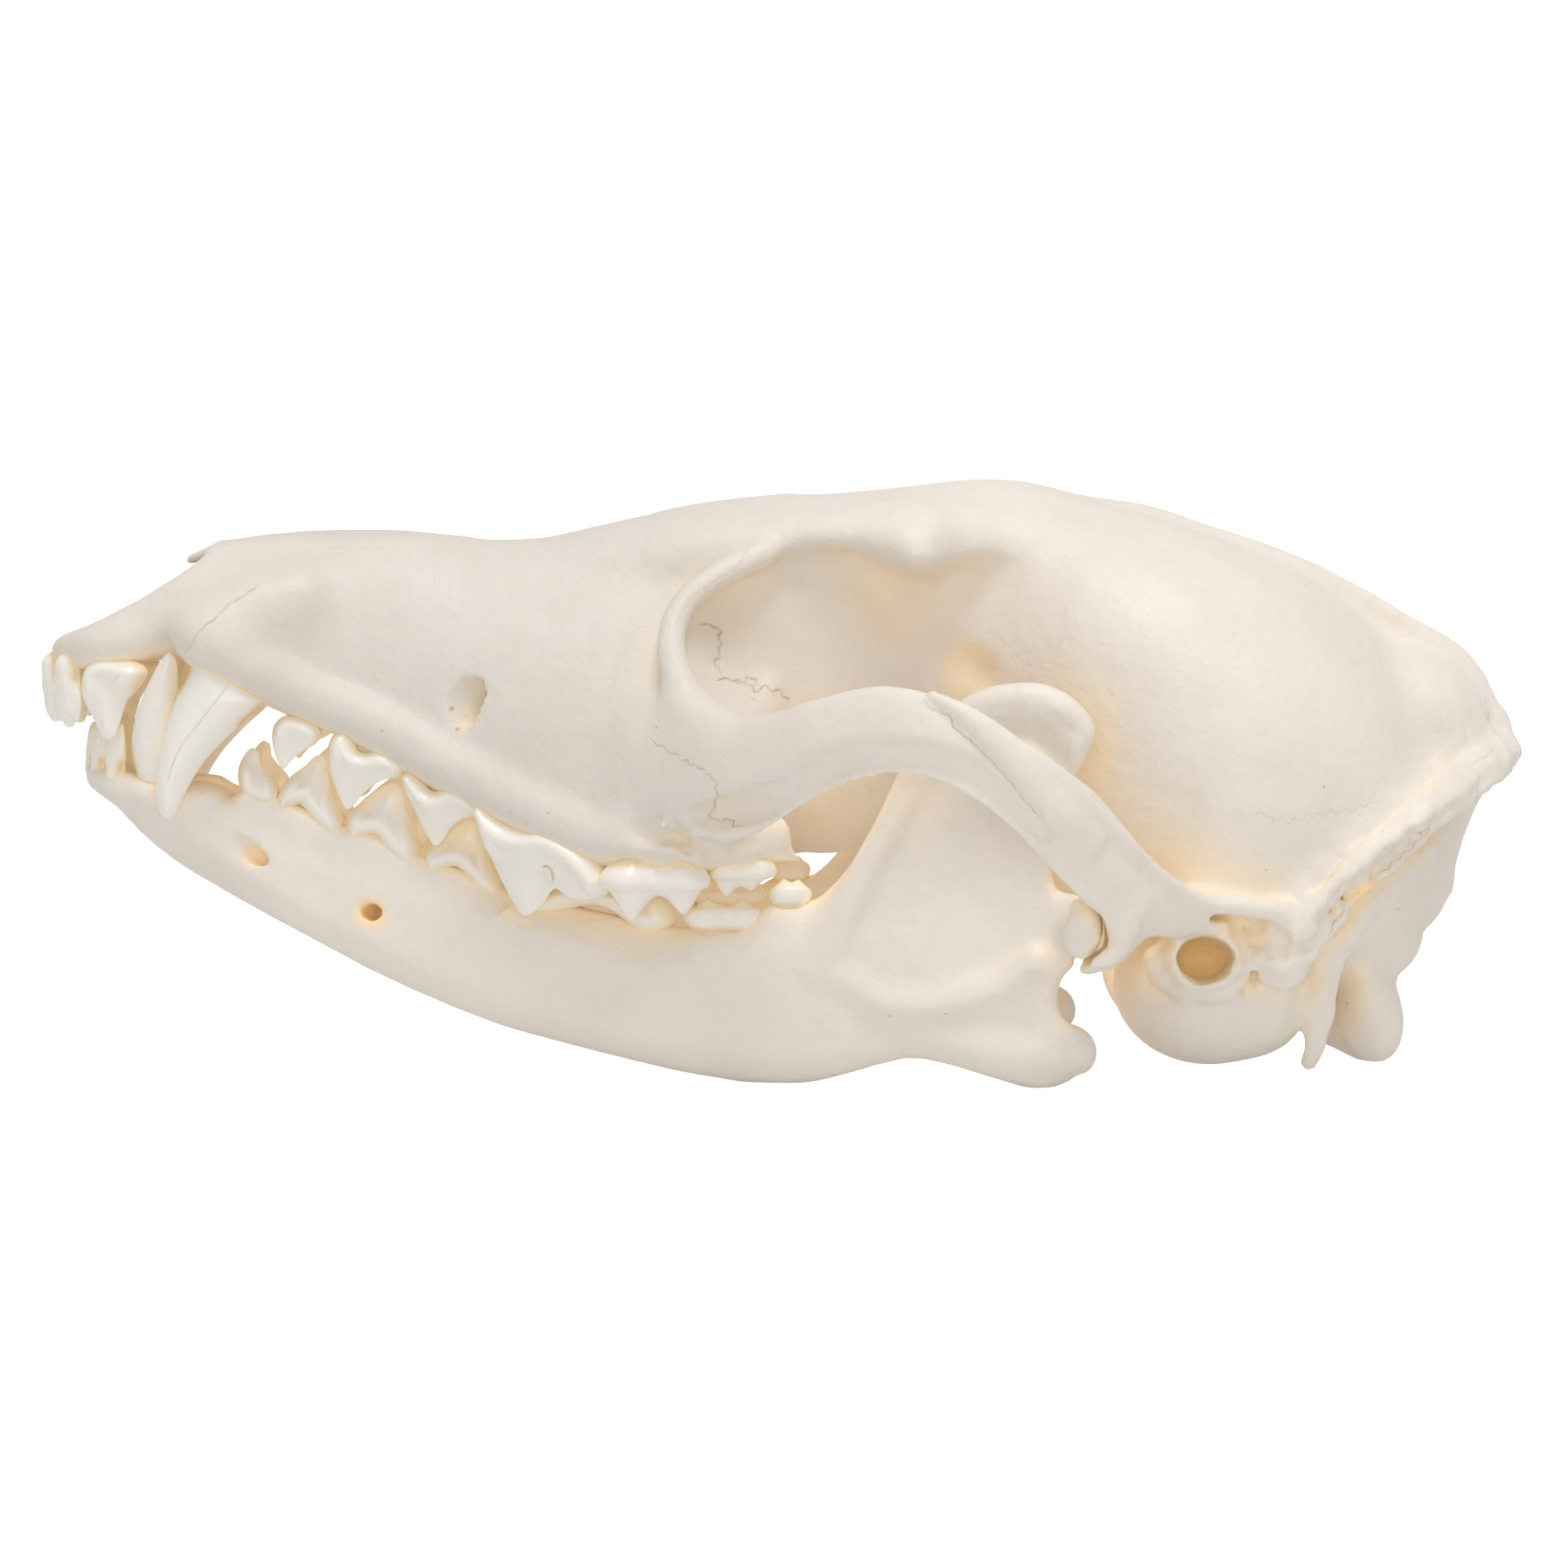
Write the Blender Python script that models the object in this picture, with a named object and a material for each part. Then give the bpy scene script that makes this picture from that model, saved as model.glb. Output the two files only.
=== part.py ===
"""A jackal skull with its lower jaw closed, lying as it rests on its jaw, nose towards -X.

The bone is worked out as smooth forms joined to one another, on a grid of points, and the teeth
are closed crowns sunk into it. All sizes here are millimetres and become metres when a mesh is made.
"""

import bpy
import numpy as np
import openvdb

MM = 0.001
GRAIN = 0.8
ROUGH_STEPS = 4
CRANIUM_TRIANGLES = 5600
JAW_TRIANGLES = 1900
TOOTH_SIDES = 14
TOOTH_RINGS = 2
ROOT = 5.0
JOINT_GAP = 0.7
JAW_GAP = 0.7
CHIN_GAP = 0.3
FAR = 30.0
FLOOR_SNAP = 0.03
SKULL_ROOM = (-84, -48, -3), (84, 48, 68)
JAW_ROOM = (-82, -2, -3), (38, 42, 48)
JAW_REACH = (-82, -3, -6), (42, 44, 50)
CREST_ROOM = (22, -1, 20), (90, 9, 70)
SKULL_COLOUR = 0.83, 0.78, 0.69
JAW_COLOUR = 0.82, 0.77, 0.68
BONE_ROUGHNESS = 0.55

# Stations along the skull: x, top, bottom, height of the widest line, half width, and how
# square the section is above and below that line
FACE = [
    (-77.6, 45.8, 43.4, 44.4, 3.0, 2.0, 2.0),
    (-76.0, 49.4, 42.9, 44.4, 6.2, 2.1, 2.4),
    (-73.5, 52.0, 42.9, 44.8, 8.2, 2.2, 2.6),
    (-70.0, 54.4, 43.3, 45.6, 9.4, 2.2, 2.6),
    (-66.0, 56.0, 43.9, 46.6, 10.2, 2.3, 2.6),
    (-62.0, 56.6, 43.6, 46.8, 11.4, 2.3, 2.8),
    (-58.0, 56.9, 41.0, 45.2, 12.6, 2.3, 3.0),
    (-53.0, 57.6, 38.4, 43.0, 12.4, 2.3, 3.2),
    (-47.0, 57.9, 36.6, 41.0, 12.3, 2.2, 3.4),
    (-41.0, 57.9, 33.6, 38.4, 13.2, 2.1, 3.4),
    (-36.0, 57.5, 31.2, 36.0, 14.8, 2.0, 3.6),
    (-31.0, 57.1, 28.6, 33.6, 17.2, 1.9, 3.8),
    (-26.0, 57.3, 26.0, 31.4, 20.0, 1.8, 4.0),
    (-20.0, 58.4, 23.4, 29.4, 22.8, 1.7, 4.0),
    (-14.0, 59.4, 22.3, 29.0, 25.0, 1.6, 4.0),
    (-8.0, 60.3, 22.2, 30.0, 26.0, 1.6, 3.6),
    (-3.0, 60.8, 22.9, 31.0, 24.8, 1.6, 3.0),
    (0.5, 61.0, 24.5, 31.5, 22.0, 1.6, 2.4),
]
WALL = [
    (-12.0, 59.0, 24.0, 44.0, 13.0, 2.4, 2.6),
    (-4.0, 60.3, 22.4, 46.0, 12.6, 2.4, 2.6),
    (4.0, 61.0, 20.6, 46.0, 12.2, 2.6, 2.6),
    (10.0, 61.6, 18.8, 46.0, 11.4, 2.6, 2.4),
    (16.0, 62.0, 16.6, 45.0, 11.4, 2.4, 2.2),
    (22.0, 61.8, 14.4, 44.0, 12.8, 2.2, 2.0),
    (28.0, 60.0, 12.6, 42.0, 15.0, 2.1, 2.0),
    (34.0, 56.0, 12.4, 38.0, 16.0, 2.0, 2.0),
    (40.0, 48.0, 14.0, 32.0, 12.0, 2.0, 2.0),
]
ROOF = [
    (-26.0, 54.4, 49.0, 52.0, 5.0, 2.0, 2.0),
    (-18.0, 57.6, 50.5, 54.0, 9.6, 2.2, 2.0),
    (-10.0, 59.9, 51.5, 55.0, 13.0, 2.4, 2.0),
    (-3.0, 60.9, 52.4, 55.8, 14.2, 2.4, 2.0),
    (3.0, 61.4, 53.8, 57.4, 14.8, 2.4, 1.8),
    (7.0, 61.5, 53.8, 57.4, 16.4, 2.4, 1.8),
    (10.5, 61.8, 53.2, 56.8, 19.2, 2.4, 1.8),
    (13.5, 62.1, 52.4, 55.8, 21.6, 2.4, 1.8),
    (15.6, 62.2, 52.2, 55.6, 21.2, 2.4, 1.8),
    (18.6, 62.2, 52.6, 56.2, 16.8, 2.4, 1.8),
    (22.0, 62.0, 52.6, 56.4, 14.2, 2.4, 1.8),
    (28.0, 61.2, 50.0, 55.0, 12.4, 2.3, 1.8),
    (34.0, 58.6, 46.0, 52.0, 9.6, 2.0, 1.8),
    (40.0, 56.0, 42.0, 48.0, 5.0, 2.0, 2.0),
]
BRAINCASE = [
    (12.0, 58.0, 32.0, 46.0, 4.0, 2.0, 2.0),
    (18.0, 61.6, 24.0, 45.0, 8.6, 2.0, 1.9),
    (23.0, 62.6, 19.0, 43.5, 13.4, 2.0, 1.9),
    (28.0, 62.3, 14.6, 41.5, 18.2, 2.0, 2.0),
    (34.0, 61.2, 11.2, 39.2, 22.8, 2.0, 2.1),
    (40.0, 59.6, 9.6, 37.0, 25.6, 2.0, 2.2),
    (46.0, 57.7, 9.2, 35.0, 26.9, 2.0, 2.3),
    (52.0, 55.4, 9.2, 33.5, 26.4, 2.0, 2.4),
    (58.0, 52.2, 9.8, 31.5, 23.8, 2.0, 2.4),
    (63.0, 48.4, 11.0, 29.5, 19.6, 2.0, 2.4),
    (67.0, 43.6, 12.6, 28.0, 14.6, 2.0, 2.2),
    (70.0, 38.6, 14.8, 27.0, 9.6, 2.0, 2.0),
    (72.5, 33.0, 19.0, 26.5, 4.6, 2.0, 2.0),
]
NASAL_HOLE = [
    (-84.0, 70.0, 46.2, 52.0, 3.6, 2.2, 2.4),
    (-76.0, 70.0, 46.6, 52.0, 4.8, 2.2, 2.4),
    (-72.0, 66.0, 47.0, 51.8, 5.8, 2.2, 2.4),
    (-66.0, 60.0, 47.4, 51.4, 6.8, 2.2, 2.4),
    (-61.0, 55.6, 47.2, 51.0, 7.6, 2.2, 2.2),
    (-52.0, 55.2, 45.4, 50.0, 7.8, 2.2, 2.2),
    (-44.0, 54.0, 44.0, 49.0, 6.6, 2.0, 2.0),
    (-38.0, 51.0, 45.6, 48.5, 3.6, 2.0, 2.0),
]
NASALS = [
    (-64.2, 55.3, 54.4, 54.9, 2.6, 2.0, 2.0),
    (-62.0, 56.3, 54.8, 55.6, 4.4, 2.2, 2.0),
    (-57.5, 57.3, 55.0, 56.0, 5.8, 2.2, 2.0),
    (-50.0, 57.9, 55.0, 56.4, 6.2, 2.2, 2.0),
    (-42.0, 57.9, 54.6, 56.0, 5.6, 2.2, 2.0),
    (-34.0, 57.1, 54.0, 55.4, 4.0, 2.2, 2.0),
]
PALATE = [
    (-73.0, 44.2, 38.0, 43.0, 3.6, 2.6, 2.0),
    (-66.0, 45.2, 38.0, 43.2, 5.6, 2.6, 2.0),
    (-58.0, 44.0, 34.0, 41.2, 7.2, 2.6, 2.0),
    (-50.0, 41.4, 32.0, 38.6, 8.2, 2.6, 2.0),
    (-42.0, 38.2, 28.0, 35.4, 9.0, 2.6, 2.0),
    (-34.0, 34.6, 24.0, 31.4, 11.0, 2.6, 2.0),
    (-26.0, 31.2, 19.0, 27.6, 14.6, 2.6, 2.0),
    (-21.0, 29.6, 17.0, 26.4, 16.8, 3.0, 2.0),
    (-17.5, 28.4, 16.0, 25.8, 16.2, 3.0, 2.0),
    (-13.5, 27.6, 16.0, 25.2, 14.4, 2.6, 2.0),
    (-8.0, 27.3, 17.0, 25.0, 14.2, 2.6, 2.0),
    (-3.0, 27.2, 18.0, 25.0, 14.0, 2.6, 2.0),
    (4.0, 27.2, 18.0, 25.0, 13.0, 2.6, 2.0),
]
CHOANA = [
    (-5.0, 30.5, 26.0, 28.5, 3.4, 2.2, 2.2),
    (0.0, 33.0, 20.0, 27.0, 5.8, 2.4, 2.4),
    (8.0, 33.0, 8.0, 22.0, 6.8, 2.6, 2.4),
    (16.0, 29.0, 5.0, 17.0, 7.2, 2.6, 2.4),
    (24.0, 21.0, 2.0, 11.0, 7.8, 2.4, 2.2),
    (32.0, 13.0, 0.0, 6.0, 8.2, 2.2, 2.2),
]

# Paths: x, y, z, half thickness across, half height of the section
ORBIT_RIM = [
    (-6.5, 28.4, 37.0, 2.6, 2.4),
    (-10.6, 26.0, 40.8, 2.4, 2.2),
    (-12.9, 22.6, 46.0, 2.1, 2.0),
    (-11.6, 19.2, 50.8, 1.9, 1.8),
    (-7.4, 16.4, 54.0, 1.8, 1.7),
    (-2.0, 14.4, 56.0, 1.6, 1.6),
]
ARCH = [
    (-14.0, 21.5, 33.5, 3.6, 7.0),
    (-9.0, 26.2, 32.8, 3.4, 7.2),
    (-4.4, 30.6, 33.0, 2.7, 6.4),
    (0.2, 34.8, 34.8, 2.2, 5.2),
    (4.6, 38.0, 36.8, 2.0, 4.7),
    (8.8, 40.4, 38.0, 1.9, 4.6),
    (13.0, 42.2, 38.2, 1.8, 4.4),
    (17.4, 43.2, 36.8, 1.8, 3.9),
    (22.0, 43.4, 34.4, 1.8, 3.8),
    (26.4, 42.6, 31.2, 1.9, 4.1),
    (30.2, 40.4, 27.6, 2.2, 4.7),
    (33.6, 36.8, 23.8, 2.6, 4.7),
    (36.8, 32.4, 20.8, 3.0, 3.8),
    (40.4, 27.4, 18.8, 3.2, 2.8),
    (44.5, 23.0, 17.8, 3.2, 2.2),
]
EAR_SHELF = [
    (37.0, 29.5, 18.6, 2.2, 1.5),
    (43.0, 26.6, 18.2, 2.2, 1.3),
    (49.0, 25.2, 17.4, 2.0, 1.3),
    (53.0, 24.4, 16.8, 1.8, 1.6),
]
NUCHAL = [
    (51.0, 23.6, 13.8, 1.5, 2.6),
    (54.0, 24.2, 18.0, 1.3, 2.8),
    (57.8, 23.4, 22.2, 1.2, 3.0),
    (62.9, 20.6, 26.4, 1.2, 3.4),
    (68.2, 16.0, 29.8, 1.2, 3.8),
    (72.6, 10.4, 32.4, 1.3, 4.0),
    (75.6, 4.8, 34.6, 1.4, 4.0),
    (76.7, 0.0, 35.4, 1.5, 3.6),
]
PAROCCIPITAL = [
    (58.0, 16.0, 17.0, 2.2, 3.6),
    (57.4, 17.4, 11.0, 1.5, 3.2),
    (56.9, 17.8, 6.0, 1.2, 2.4),
    (56.4, 17.0, 2.2, 0.9, 1.1),
]
POSTGLENOID = [
    (35.2, 21.0, 15.6, 2.0, 2.4),
    (35.0, 26.0, 14.8, 2.3, 3.2),
    (34.8, 31.0, 14.6, 2.3, 3.4),
    (34.9, 35.4, 16.8, 2.0, 3.0),
]
UPPER_SOCKETS = [
    (-77.0, 1.5, 45.3, 1.8, 1.6),
    (-75.6, 4.6, 45.6, 2.0, 1.8),
    (-71.5, 7.9, 46.2, 2.3, 2.2),
    (-66.4, 7.8, 47.6, 1.9, 2.0),
    (-61.0, 11.6, 46.6, 3.2, 2.8),
    (-56.4, 12.0, 43.6, 3.2, 2.9),
    (-51.6, 11.6, 41.0, 2.5, 2.6),
    (-44.0, 12.4, 37.8, 2.4, 2.7),
    (-36.0, 14.2, 33.6, 2.7, 2.9),
    (-28.0, 17.8, 29.8, 3.0, 3.0),
    (-20.0, 21.0, 26.4, 3.4, 3.2),
    (-13.0, 21.6, 25.6, 4.6, 3.2),
    (-5.0, 20.8, 25.4, 3.8, 2.8),
    (-1.6, 20.4, 26.0, 2.6, 2.6),
]
CONDYLE = [
    (30.6, 19.4, 15.6, 2.2, 2.6),
    (30.8, 24.0, 16.2, 2.6, 3.0),
    (30.9, 30.0, 16.6, 2.8, 3.2),
    (31.1, 35.2, 17.0, 2.2, 2.6),
]
ANGLE = [
    (31.0, 26.4, 4.0, 1.7, 2.3),
    (27.0, 25.6, 2.8, 1.9, 2.3),
    (22.0, 24.4, 3.6, 1.7, 2.0),
    (15.0, 22.6, 5.4, 1.4, 1.8),
]
LOWER_SOCKETS = [
    (-73.6, 1.6, 31.4, 1.5, 1.4),
    (-72.4, 4.2, 31.2, 1.6, 1.5),
    (-69.8, 6.6, 30.4, 2.0, 1.7),
    (-66.4, 7.9, 29.6, 2.7, 1.9),
    (-62.0, 8.0, 29.2, 2.4, 1.9),
]

OCCIPITAL_RIDGE = [
    (66.0, 0.0, 17.0, 2.0, 2.0),
    (71.5, 0.0, 25.0, 1.4, 1.8),
    (74.4, 0.0, 32.0, 1.2, 2.4),
]
EAR_TUBE = [
    (44.6, 15.0, 13.2, 5.4, 4.6),
    (44.6, 19.0, 13.4, 5.2, 4.3),
    (44.6, 21.6, 13.6, 4.9, 4.1),
]
EAR_CANAL = [
    (44.6, 13.0, 13.0, 3.2, 2.4),
    (44.7, 19.0, 13.4, 3.5, 2.6),
    (44.7, 27.0, 13.6, 3.8, 2.9),
]
SPINE_HOLE = [
    (52.0, 0.0, 14.0, 4.6, 4.2),
    (62.0, 0.0, 12.0, 6.2, 5.0),
    (76.0, 0.0, 9.0, 7.6, 6.4),
]

# Eggs: centre, half sizes, pitch in degrees
ORBIT = ((5.5, 28.4, 50.5), (19.0, 18.4, 13.5), -12)
OCCIPUT = ((55.8, 0.0, 24.0), (15.0, 20.5, 16.0), 12)
CREST_ROOT = ((67.6, 0.0, 37.4), (9.0, 10.5, 8.0), 35)
BULLA = ((45.2, 13.4, 9.8), (9.9, 7.6, 8.4), 6)
MASTOID = ((52.6, 22.0, 14.0), (3.4, 3.0, 4.0), 0)
OCCIPITAL_CONDYLE = ((62.0, 8.8, 8.6), (4.3, 4.0, 6.6), -22)
INFRAORBITAL_HOLE = ((-35.4, 15.8, 39.4), (1.7, 2.6, 2.3), 0)
CANINE_NOTCH = ((-66.2, 11.0, 43.4), (2.8, 1.9, 3.6), 0)
JAW_HOLLOW = ((20.0, 31.2, 17.0), (11.5, 5.8, 12.5), 30)

# Upper edge of the snout's side walls in front of the nasal bones: x, z
SNOUT_EDGE = [(-78.4, 44.6), (-76.7, 45.6), (-73.2, 48.2), (-68.0, 51.2), (-63.0, 54.6), (-60.0, 57.6)]
SNOUT_BACK = -60.0
SNOUT_LEAN = 0.85

# Closed lines seen from the side: x, z
CREST_LINE = [
    (30, 59), (36.6, 60.9), (47.1, 58.1), (57.6, 54.6), (68.2, 48.8), (73.5, 45.5), (75.9, 42.6),
    (78.0, 38.6), (79.1, 35.4), (78.0, 33.0), (75.4, 30.5), (70, 28), (60, 30), (45, 45),
]
JAW_LINE = [
    (-74.6, 32.6), (-71.0, 31.4), (-67.1, 30.8), (-61.9, 31.2), (-57.6, 29.4), (-53.7, 27.2),
    (-46.3, 24.6), (-38.1, 21.6), (-29, 19.3), (-22.6, 17.9), (-17.4, 15.9), (-11.4, 15.4),
    (-7.1, 16.0), (-1.1, 17.0), (3.2, 19.2), (6.6, 22.4), (9.5, 27.0), (12.5, 33.3), (16, 38.6),
    (20.9, 41.7), (26.9, 42.4), (30.3, 41.0), (32.8, 37.8), (31.6, 34.4), (29.6, 30), (28.6, 25),
    (28.8, 21.0), (31.4, 19.4), (32.4, 16.4), (31.4, 13.6), (29.4, 11.4), (29.2, 8.0), (30.6, 6.2),
    (32.2, 4.9), (31.8, 2.5), (29.2, 0.7), (26.5, 0.2), (22.6, 1.2), (15, 3.0), (7.5, 1.2),
    (3, 0.1), (-2.5, -0.1), (-10.6, 1.0), (-20.9, 3.2), (-31.5, 6.0), (-41.9, 10.2), (-52.3, 15.3),
    (-60.0, 19.4), (-65.8, 23.0), (-70.6, 27.2), (-74.0, 30.8),
]
# Stations along one half of the jaw: x, distance of its middle from the centre, half thickness, rounding
JAW_BODY = [
    (-75.0, 1.8, 3.6, 2.2),
    (-72.0, 3.0, 4.8, 3.0),
    (-66.0, 3.8, 5.8, 3.8),
    (-60.0, 4.4, 5.4, 4.0),
    (-54.0, 6.2, 4.4, 3.8),
    (-47.0, 8.2, 3.3, 3.8),
    (-38.0, 10.2, 3.1, 3.8),
    (-28.0, 12.8, 3.3, 3.8),
    (-16.0, 15.8, 3.6, 3.8),
    (-5.0, 18.4, 3.5, 3.6),
    (4.0, 20.4, 3.0, 3.0),
    (12.0, 22.2, 2.3, 2.4),
    (20.0, 23.8, 2.0, 2.0),
    (33.0, 26.0, 1.9, 1.8),
]

# Crown outlines seen from the side: place along the tooth, height from neck (0) to tip (1)
CROWNS = {
    "incisor": [
        (0.25, -0.5), (0.14, -0.1), (0.02, 0.25), (0.0, 0.6), (0.08, 0.86), (0.28, 0.97), (0.5, 1.0),
        (0.72, 0.95), (0.92, 0.82), (1.0, 0.58), (0.96, 0.25), (0.84, -0.1), (0.72, -0.5), (0.5, -0.62),
    ],
    "corner": [
        (0.15, -0.5), (0, -0.05), (-0.04, 0.2), (0.03, 0.5), (0.18, 0.8), (0.4, 1), (0.54, 0.95),
        (0.66, 0.68), (0.82, 0.44), (1, 0.26), (1.04, 0.06), (0.92, -0.5), (0.55, -0.7),
    ],
    "canine": [
        (0.2, -0.42), (0.06, -0.2), (-0.02, 0.0), (-0.12, 0.2), (-0.3, 0.46), (-0.46, 0.72), (-0.54, 0.9),
        (-0.52, 0.99), (-0.42, 1.0), (-0.28, 0.93), (-0.04, 0.72), (0.3, 0.44), (0.68, 0.18), (0.98, -0.02),
        (1.04, -0.2), (0.92, -0.42), (0.6, -0.55),
    ],
    "lower_canine": [
        (0.1, -0.4), (0.0, -0.15), (-0.06, 0.05), (-0.1, 0.3), (0.02, 0.6), (0.24, 0.86), (0.42, 0.98),
        (0.52, 1.0), (0.6, 0.95), (0.64, 0.7), (0.74, 0.45), (0.92, 0.15), (1.04, -0.05), (1.08, -0.25),
        (0.95, -0.42), (0.5, -0.5),
    ],
    "first_premolar": [
        (0.1, -0.6), (0, -0.05), (-0.04, 0.3), (0.02, 0.7), (0.24, 1), (0.4, 0.92), (0.56, 0.68),
        (0.84, 0.56), (1.02, 0.3), (1, -0.05), (0.88, -0.6), (0.5, -0.75),
    ],
    "premolar": [
        (0.03, -0.5), (-0.01, -0.05), (-0.03, 0.25), (0.03, 0.58), (0.16, 0.9), (0.27, 1), (0.38, 0.92),
        (0.5, 0.68), (0.66, 0.6), (0.82, 0.6), (0.96, 0.45), (1.02, 0.2), (1, -0.05), (0.96, -0.5),
        (0.5, -0.6),
    ],
    "lower_premolar": [
        (0.03, -0.5), (0, 0), (-0.02, 0.22), (0.08, 0.48), (0.3, 0.74), (0.52, 0.96), (0.61, 1),
        (0.69, 0.9), (0.76, 0.66), (0.86, 0.47), (0.98, 0.3), (1.02, 0.1), (0.99, -0.1), (0.95, -0.5),
        (0.5, -0.6),
    ],
    "carnassial": [
        (0.02, -0.4), (-0.03, -0.02), (-0.05, 0.2), (0.02, 0.42), (0.14, 0.66), (0.25, 0.87), (0.36, 1),
        (0.43, 0.98), (0.5, 0.8), (0.55, 0.52), (0.59, 0.42), (0.66, 0.5), (0.76, 0.54), (0.89, 0.47),
        (0.98, 0.3), (1.02, 0.08), (0.97, -0.4), (0.5, -0.5),
    ],
    "lower_carnassial": [
        (0.02, -0.45), (0.0, 0.0), (0.03, 0.4), (0.14, 0.68), (0.24, 0.7), (0.31, 0.58), (0.4, 0.82),
        (0.5, 1.0), (0.57, 0.9), (0.64, 0.5), (0.74, 0.36), (0.86, 0.36), (0.96, 0.28), (1.0, 0.1),
        (0.98, -0.1), (0.93, -0.45), (0.5, -0.55),
    ],
}
# Kind, front end x and y, rear end x and y, neck height front and rear, tip height, half thickness, lean
UPPER_TEETH = [
    ("incisor", -79.2, 0.35, -78.0, 3.5, 43.8, 43.8, 37.4, 1.5, 0.0),
    ("incisor", -77.6, 3.9, -75.3, 6.7, 44.0, 44.0, 37.0, 1.7, 0.2),
    ("corner", -74.9, 7.0, -68.6, 9.0, 44.2, 44.2, 35.8, 2.1, 0.6),
    ("canine", -62.7, 11.6, -55.2, 12.4, 44.6, 40.0, 27.4, 2.6, 0.6),
    ("first_premolar", -54.1, 11.6, -49.5, 11.9, 38.6, 37.6, 33.0, 1.4, 0.0),
    ("premolar", -48.4, 12.1, -40.6, 13.0, 37.4, 33.8, 28.4, 1.6, 0.0),
    ("premolar", -40.2, 13.3, -32.4, 15.6, 33.6, 30.0, 24.7, 1.8, 0.0),
    ("carnassial", -32.0, 16.0, -19.0, 22.0, 30.0, 23.8, 17.7, 2.2, 0.3),
]
LOWER_TEETH = [
    ("incisor", -74.5, 0.35, -74.1, 2.5, 32.6, 32.4, 37.2, 1.2, 0.0),
    ("incisor", -74.0, 2.8, -72.7, 4.9, 32.4, 32.2, 37.6, 1.3, 0.0),
    ("incisor", -72.3, 5.0, -70.5, 6.9, 32.0, 31.8, 38.0, 1.4, 0.2),
    ("lower_canine", -69.3, 7.6, -63.9, 8.2, 31.4, 31.6, 45.1, 2.2, 2.8),
    ("first_premolar", -57.6, 8.0, -53.8, 8.5, 29.8, 28.6, 34.8, 1.3, 0.0),
    ("lower_premolar", -53.3, 8.7, -46.9, 9.6, 28.4, 25.6, 34.2, 1.5, 0.0),
    ("lower_premolar", -46.0, 9.7, -38.5, 11.0, 25.2, 22.6, 30.8, 1.6, 0.0),
    ("lower_premolar", -37.6, 11.0, -29.6, 12.6, 22.2, 19.4, 27.6, 1.7, 0.0),
    ("lower_carnassial", -29.0, 12.7, -11.4, 16.9, 19.2, 15.9, 26.4, 2.0, -0.4),
]
# Grinding teeth: centre x and y, neck height, crown height, plan outline, cusps (x, y, height, width)
UPPER_MOLARS = [
    (-13.2, 20.2, 23.6, 2.8,
     [(-5.4, 4.2), (-3.2, 5.8), (0.0, 5.2), (3.4, 5.5), (5.2, 3.4), (4.2, 0.0), (2.4, -3.8), (0.0, -5.2),
      (-2.2, -4.0), (-4.0, 0.0)],
     [(-3.2, 3.9, 3.9, 1.6), (2.4, 3.7, 3.3, 1.5), (-0.4, -1.8, 0.5, 1.6)]),
    (-4.0, 19.6, 23.9, 2.2,
     [(-3.4, 2.4), (-1.9, 3.5), (0.2, 3.2), (2.0, 3.2), (3.2, 1.6), (2.6, -1.0), (1.6, -3.0), (0, -3.8),
      (-1.6, -2.8), (-2.8, 0.0)],
     [(-1.6, 2.1, 1.6, 1.1), (1.2, 2.0, 1.3, 1.0)]),
]
LOWER_MOLARS = [
    (-5.8, 18.1, 16.4, 2.2,
     [(-4.2, 1.0), (-2.6, 2.5), (0.0, 2.4), (2.6, 2.3), (4.2, 0.8), (4.0, -1.4), (2.0, -2.4), (-0.8, -2.6),
      (-3.4, -2.1), (-4.4, -0.6)],
     [(-2.2, 1.2, 1.5, 1.2), (1.8, 1.1, 1.1, 1.1), (-1.8, -1.2, 1.2, 1.1)]),
    (1.3, 19.9, 18.8, 1.8,
     [(-2.0, 0.3), (-1.1, 1.6), (0.6, 1.7), (1.9, 0.9), (2.0, -0.6), (0.9, -1.6), (-0.8, -1.6),
      (-1.9, -0.7)],
     [(-0.6, 0.5, 0.9, 0.8), (0.6, -0.2, 0.7, 0.7)]),
]


def curve(rows, x):
    """Smooth values between the rows of a table whose first column is the place."""
    rows = np.asarray(rows, float)
    at, values = rows[:, 0], rows[:, 1:]
    slope = np.gradient(values, at, axis=0)
    x = np.clip(x, at[0], at[-1])
    i = np.clip(np.searchsorted(at, x, side="right") - 1, 0, len(at) - 2)
    step = (at[i + 1] - at[i])[:, None]
    t = (x - at[i])[:, None] / step
    a, b = values[i], values[i + 1]
    from_slope, to_slope = slope[i] * step, slope[i + 1] * step
    bend = 3 * (b - a) - 2 * from_slope - to_slope
    return a + t * from_slope + t**2 * bend + t**3 * (from_slope + to_slope - 2 * (b - a))


def ring(points, count):
    """Closed smooth line through the points."""
    points = np.asarray(points, float)
    looped = np.vstack([points[-3:], points, points[:3]])
    steps = np.linalg.norm(np.diff(looped, axis=0), axis=1) ** 0.5
    at = np.concatenate([[0], np.cumsum(steps)])
    where = np.linspace(at[3], at[3 + len(points)], count, endpoint=False)
    return curve(np.hstack([at[:, None], looped]), where)


def joined(a, b, blend):
    """Two forms as one, with a fillet about as wide as blend."""
    h = np.clip(0.5 + 0.5 * (b - a) / blend, 0, 1)
    return b + (a - b) * h - blend * h * (1 - h)


def carved(a, b, blend):
    """The first form with the second taken out of it."""
    return -joined(-a, b, blend)


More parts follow.
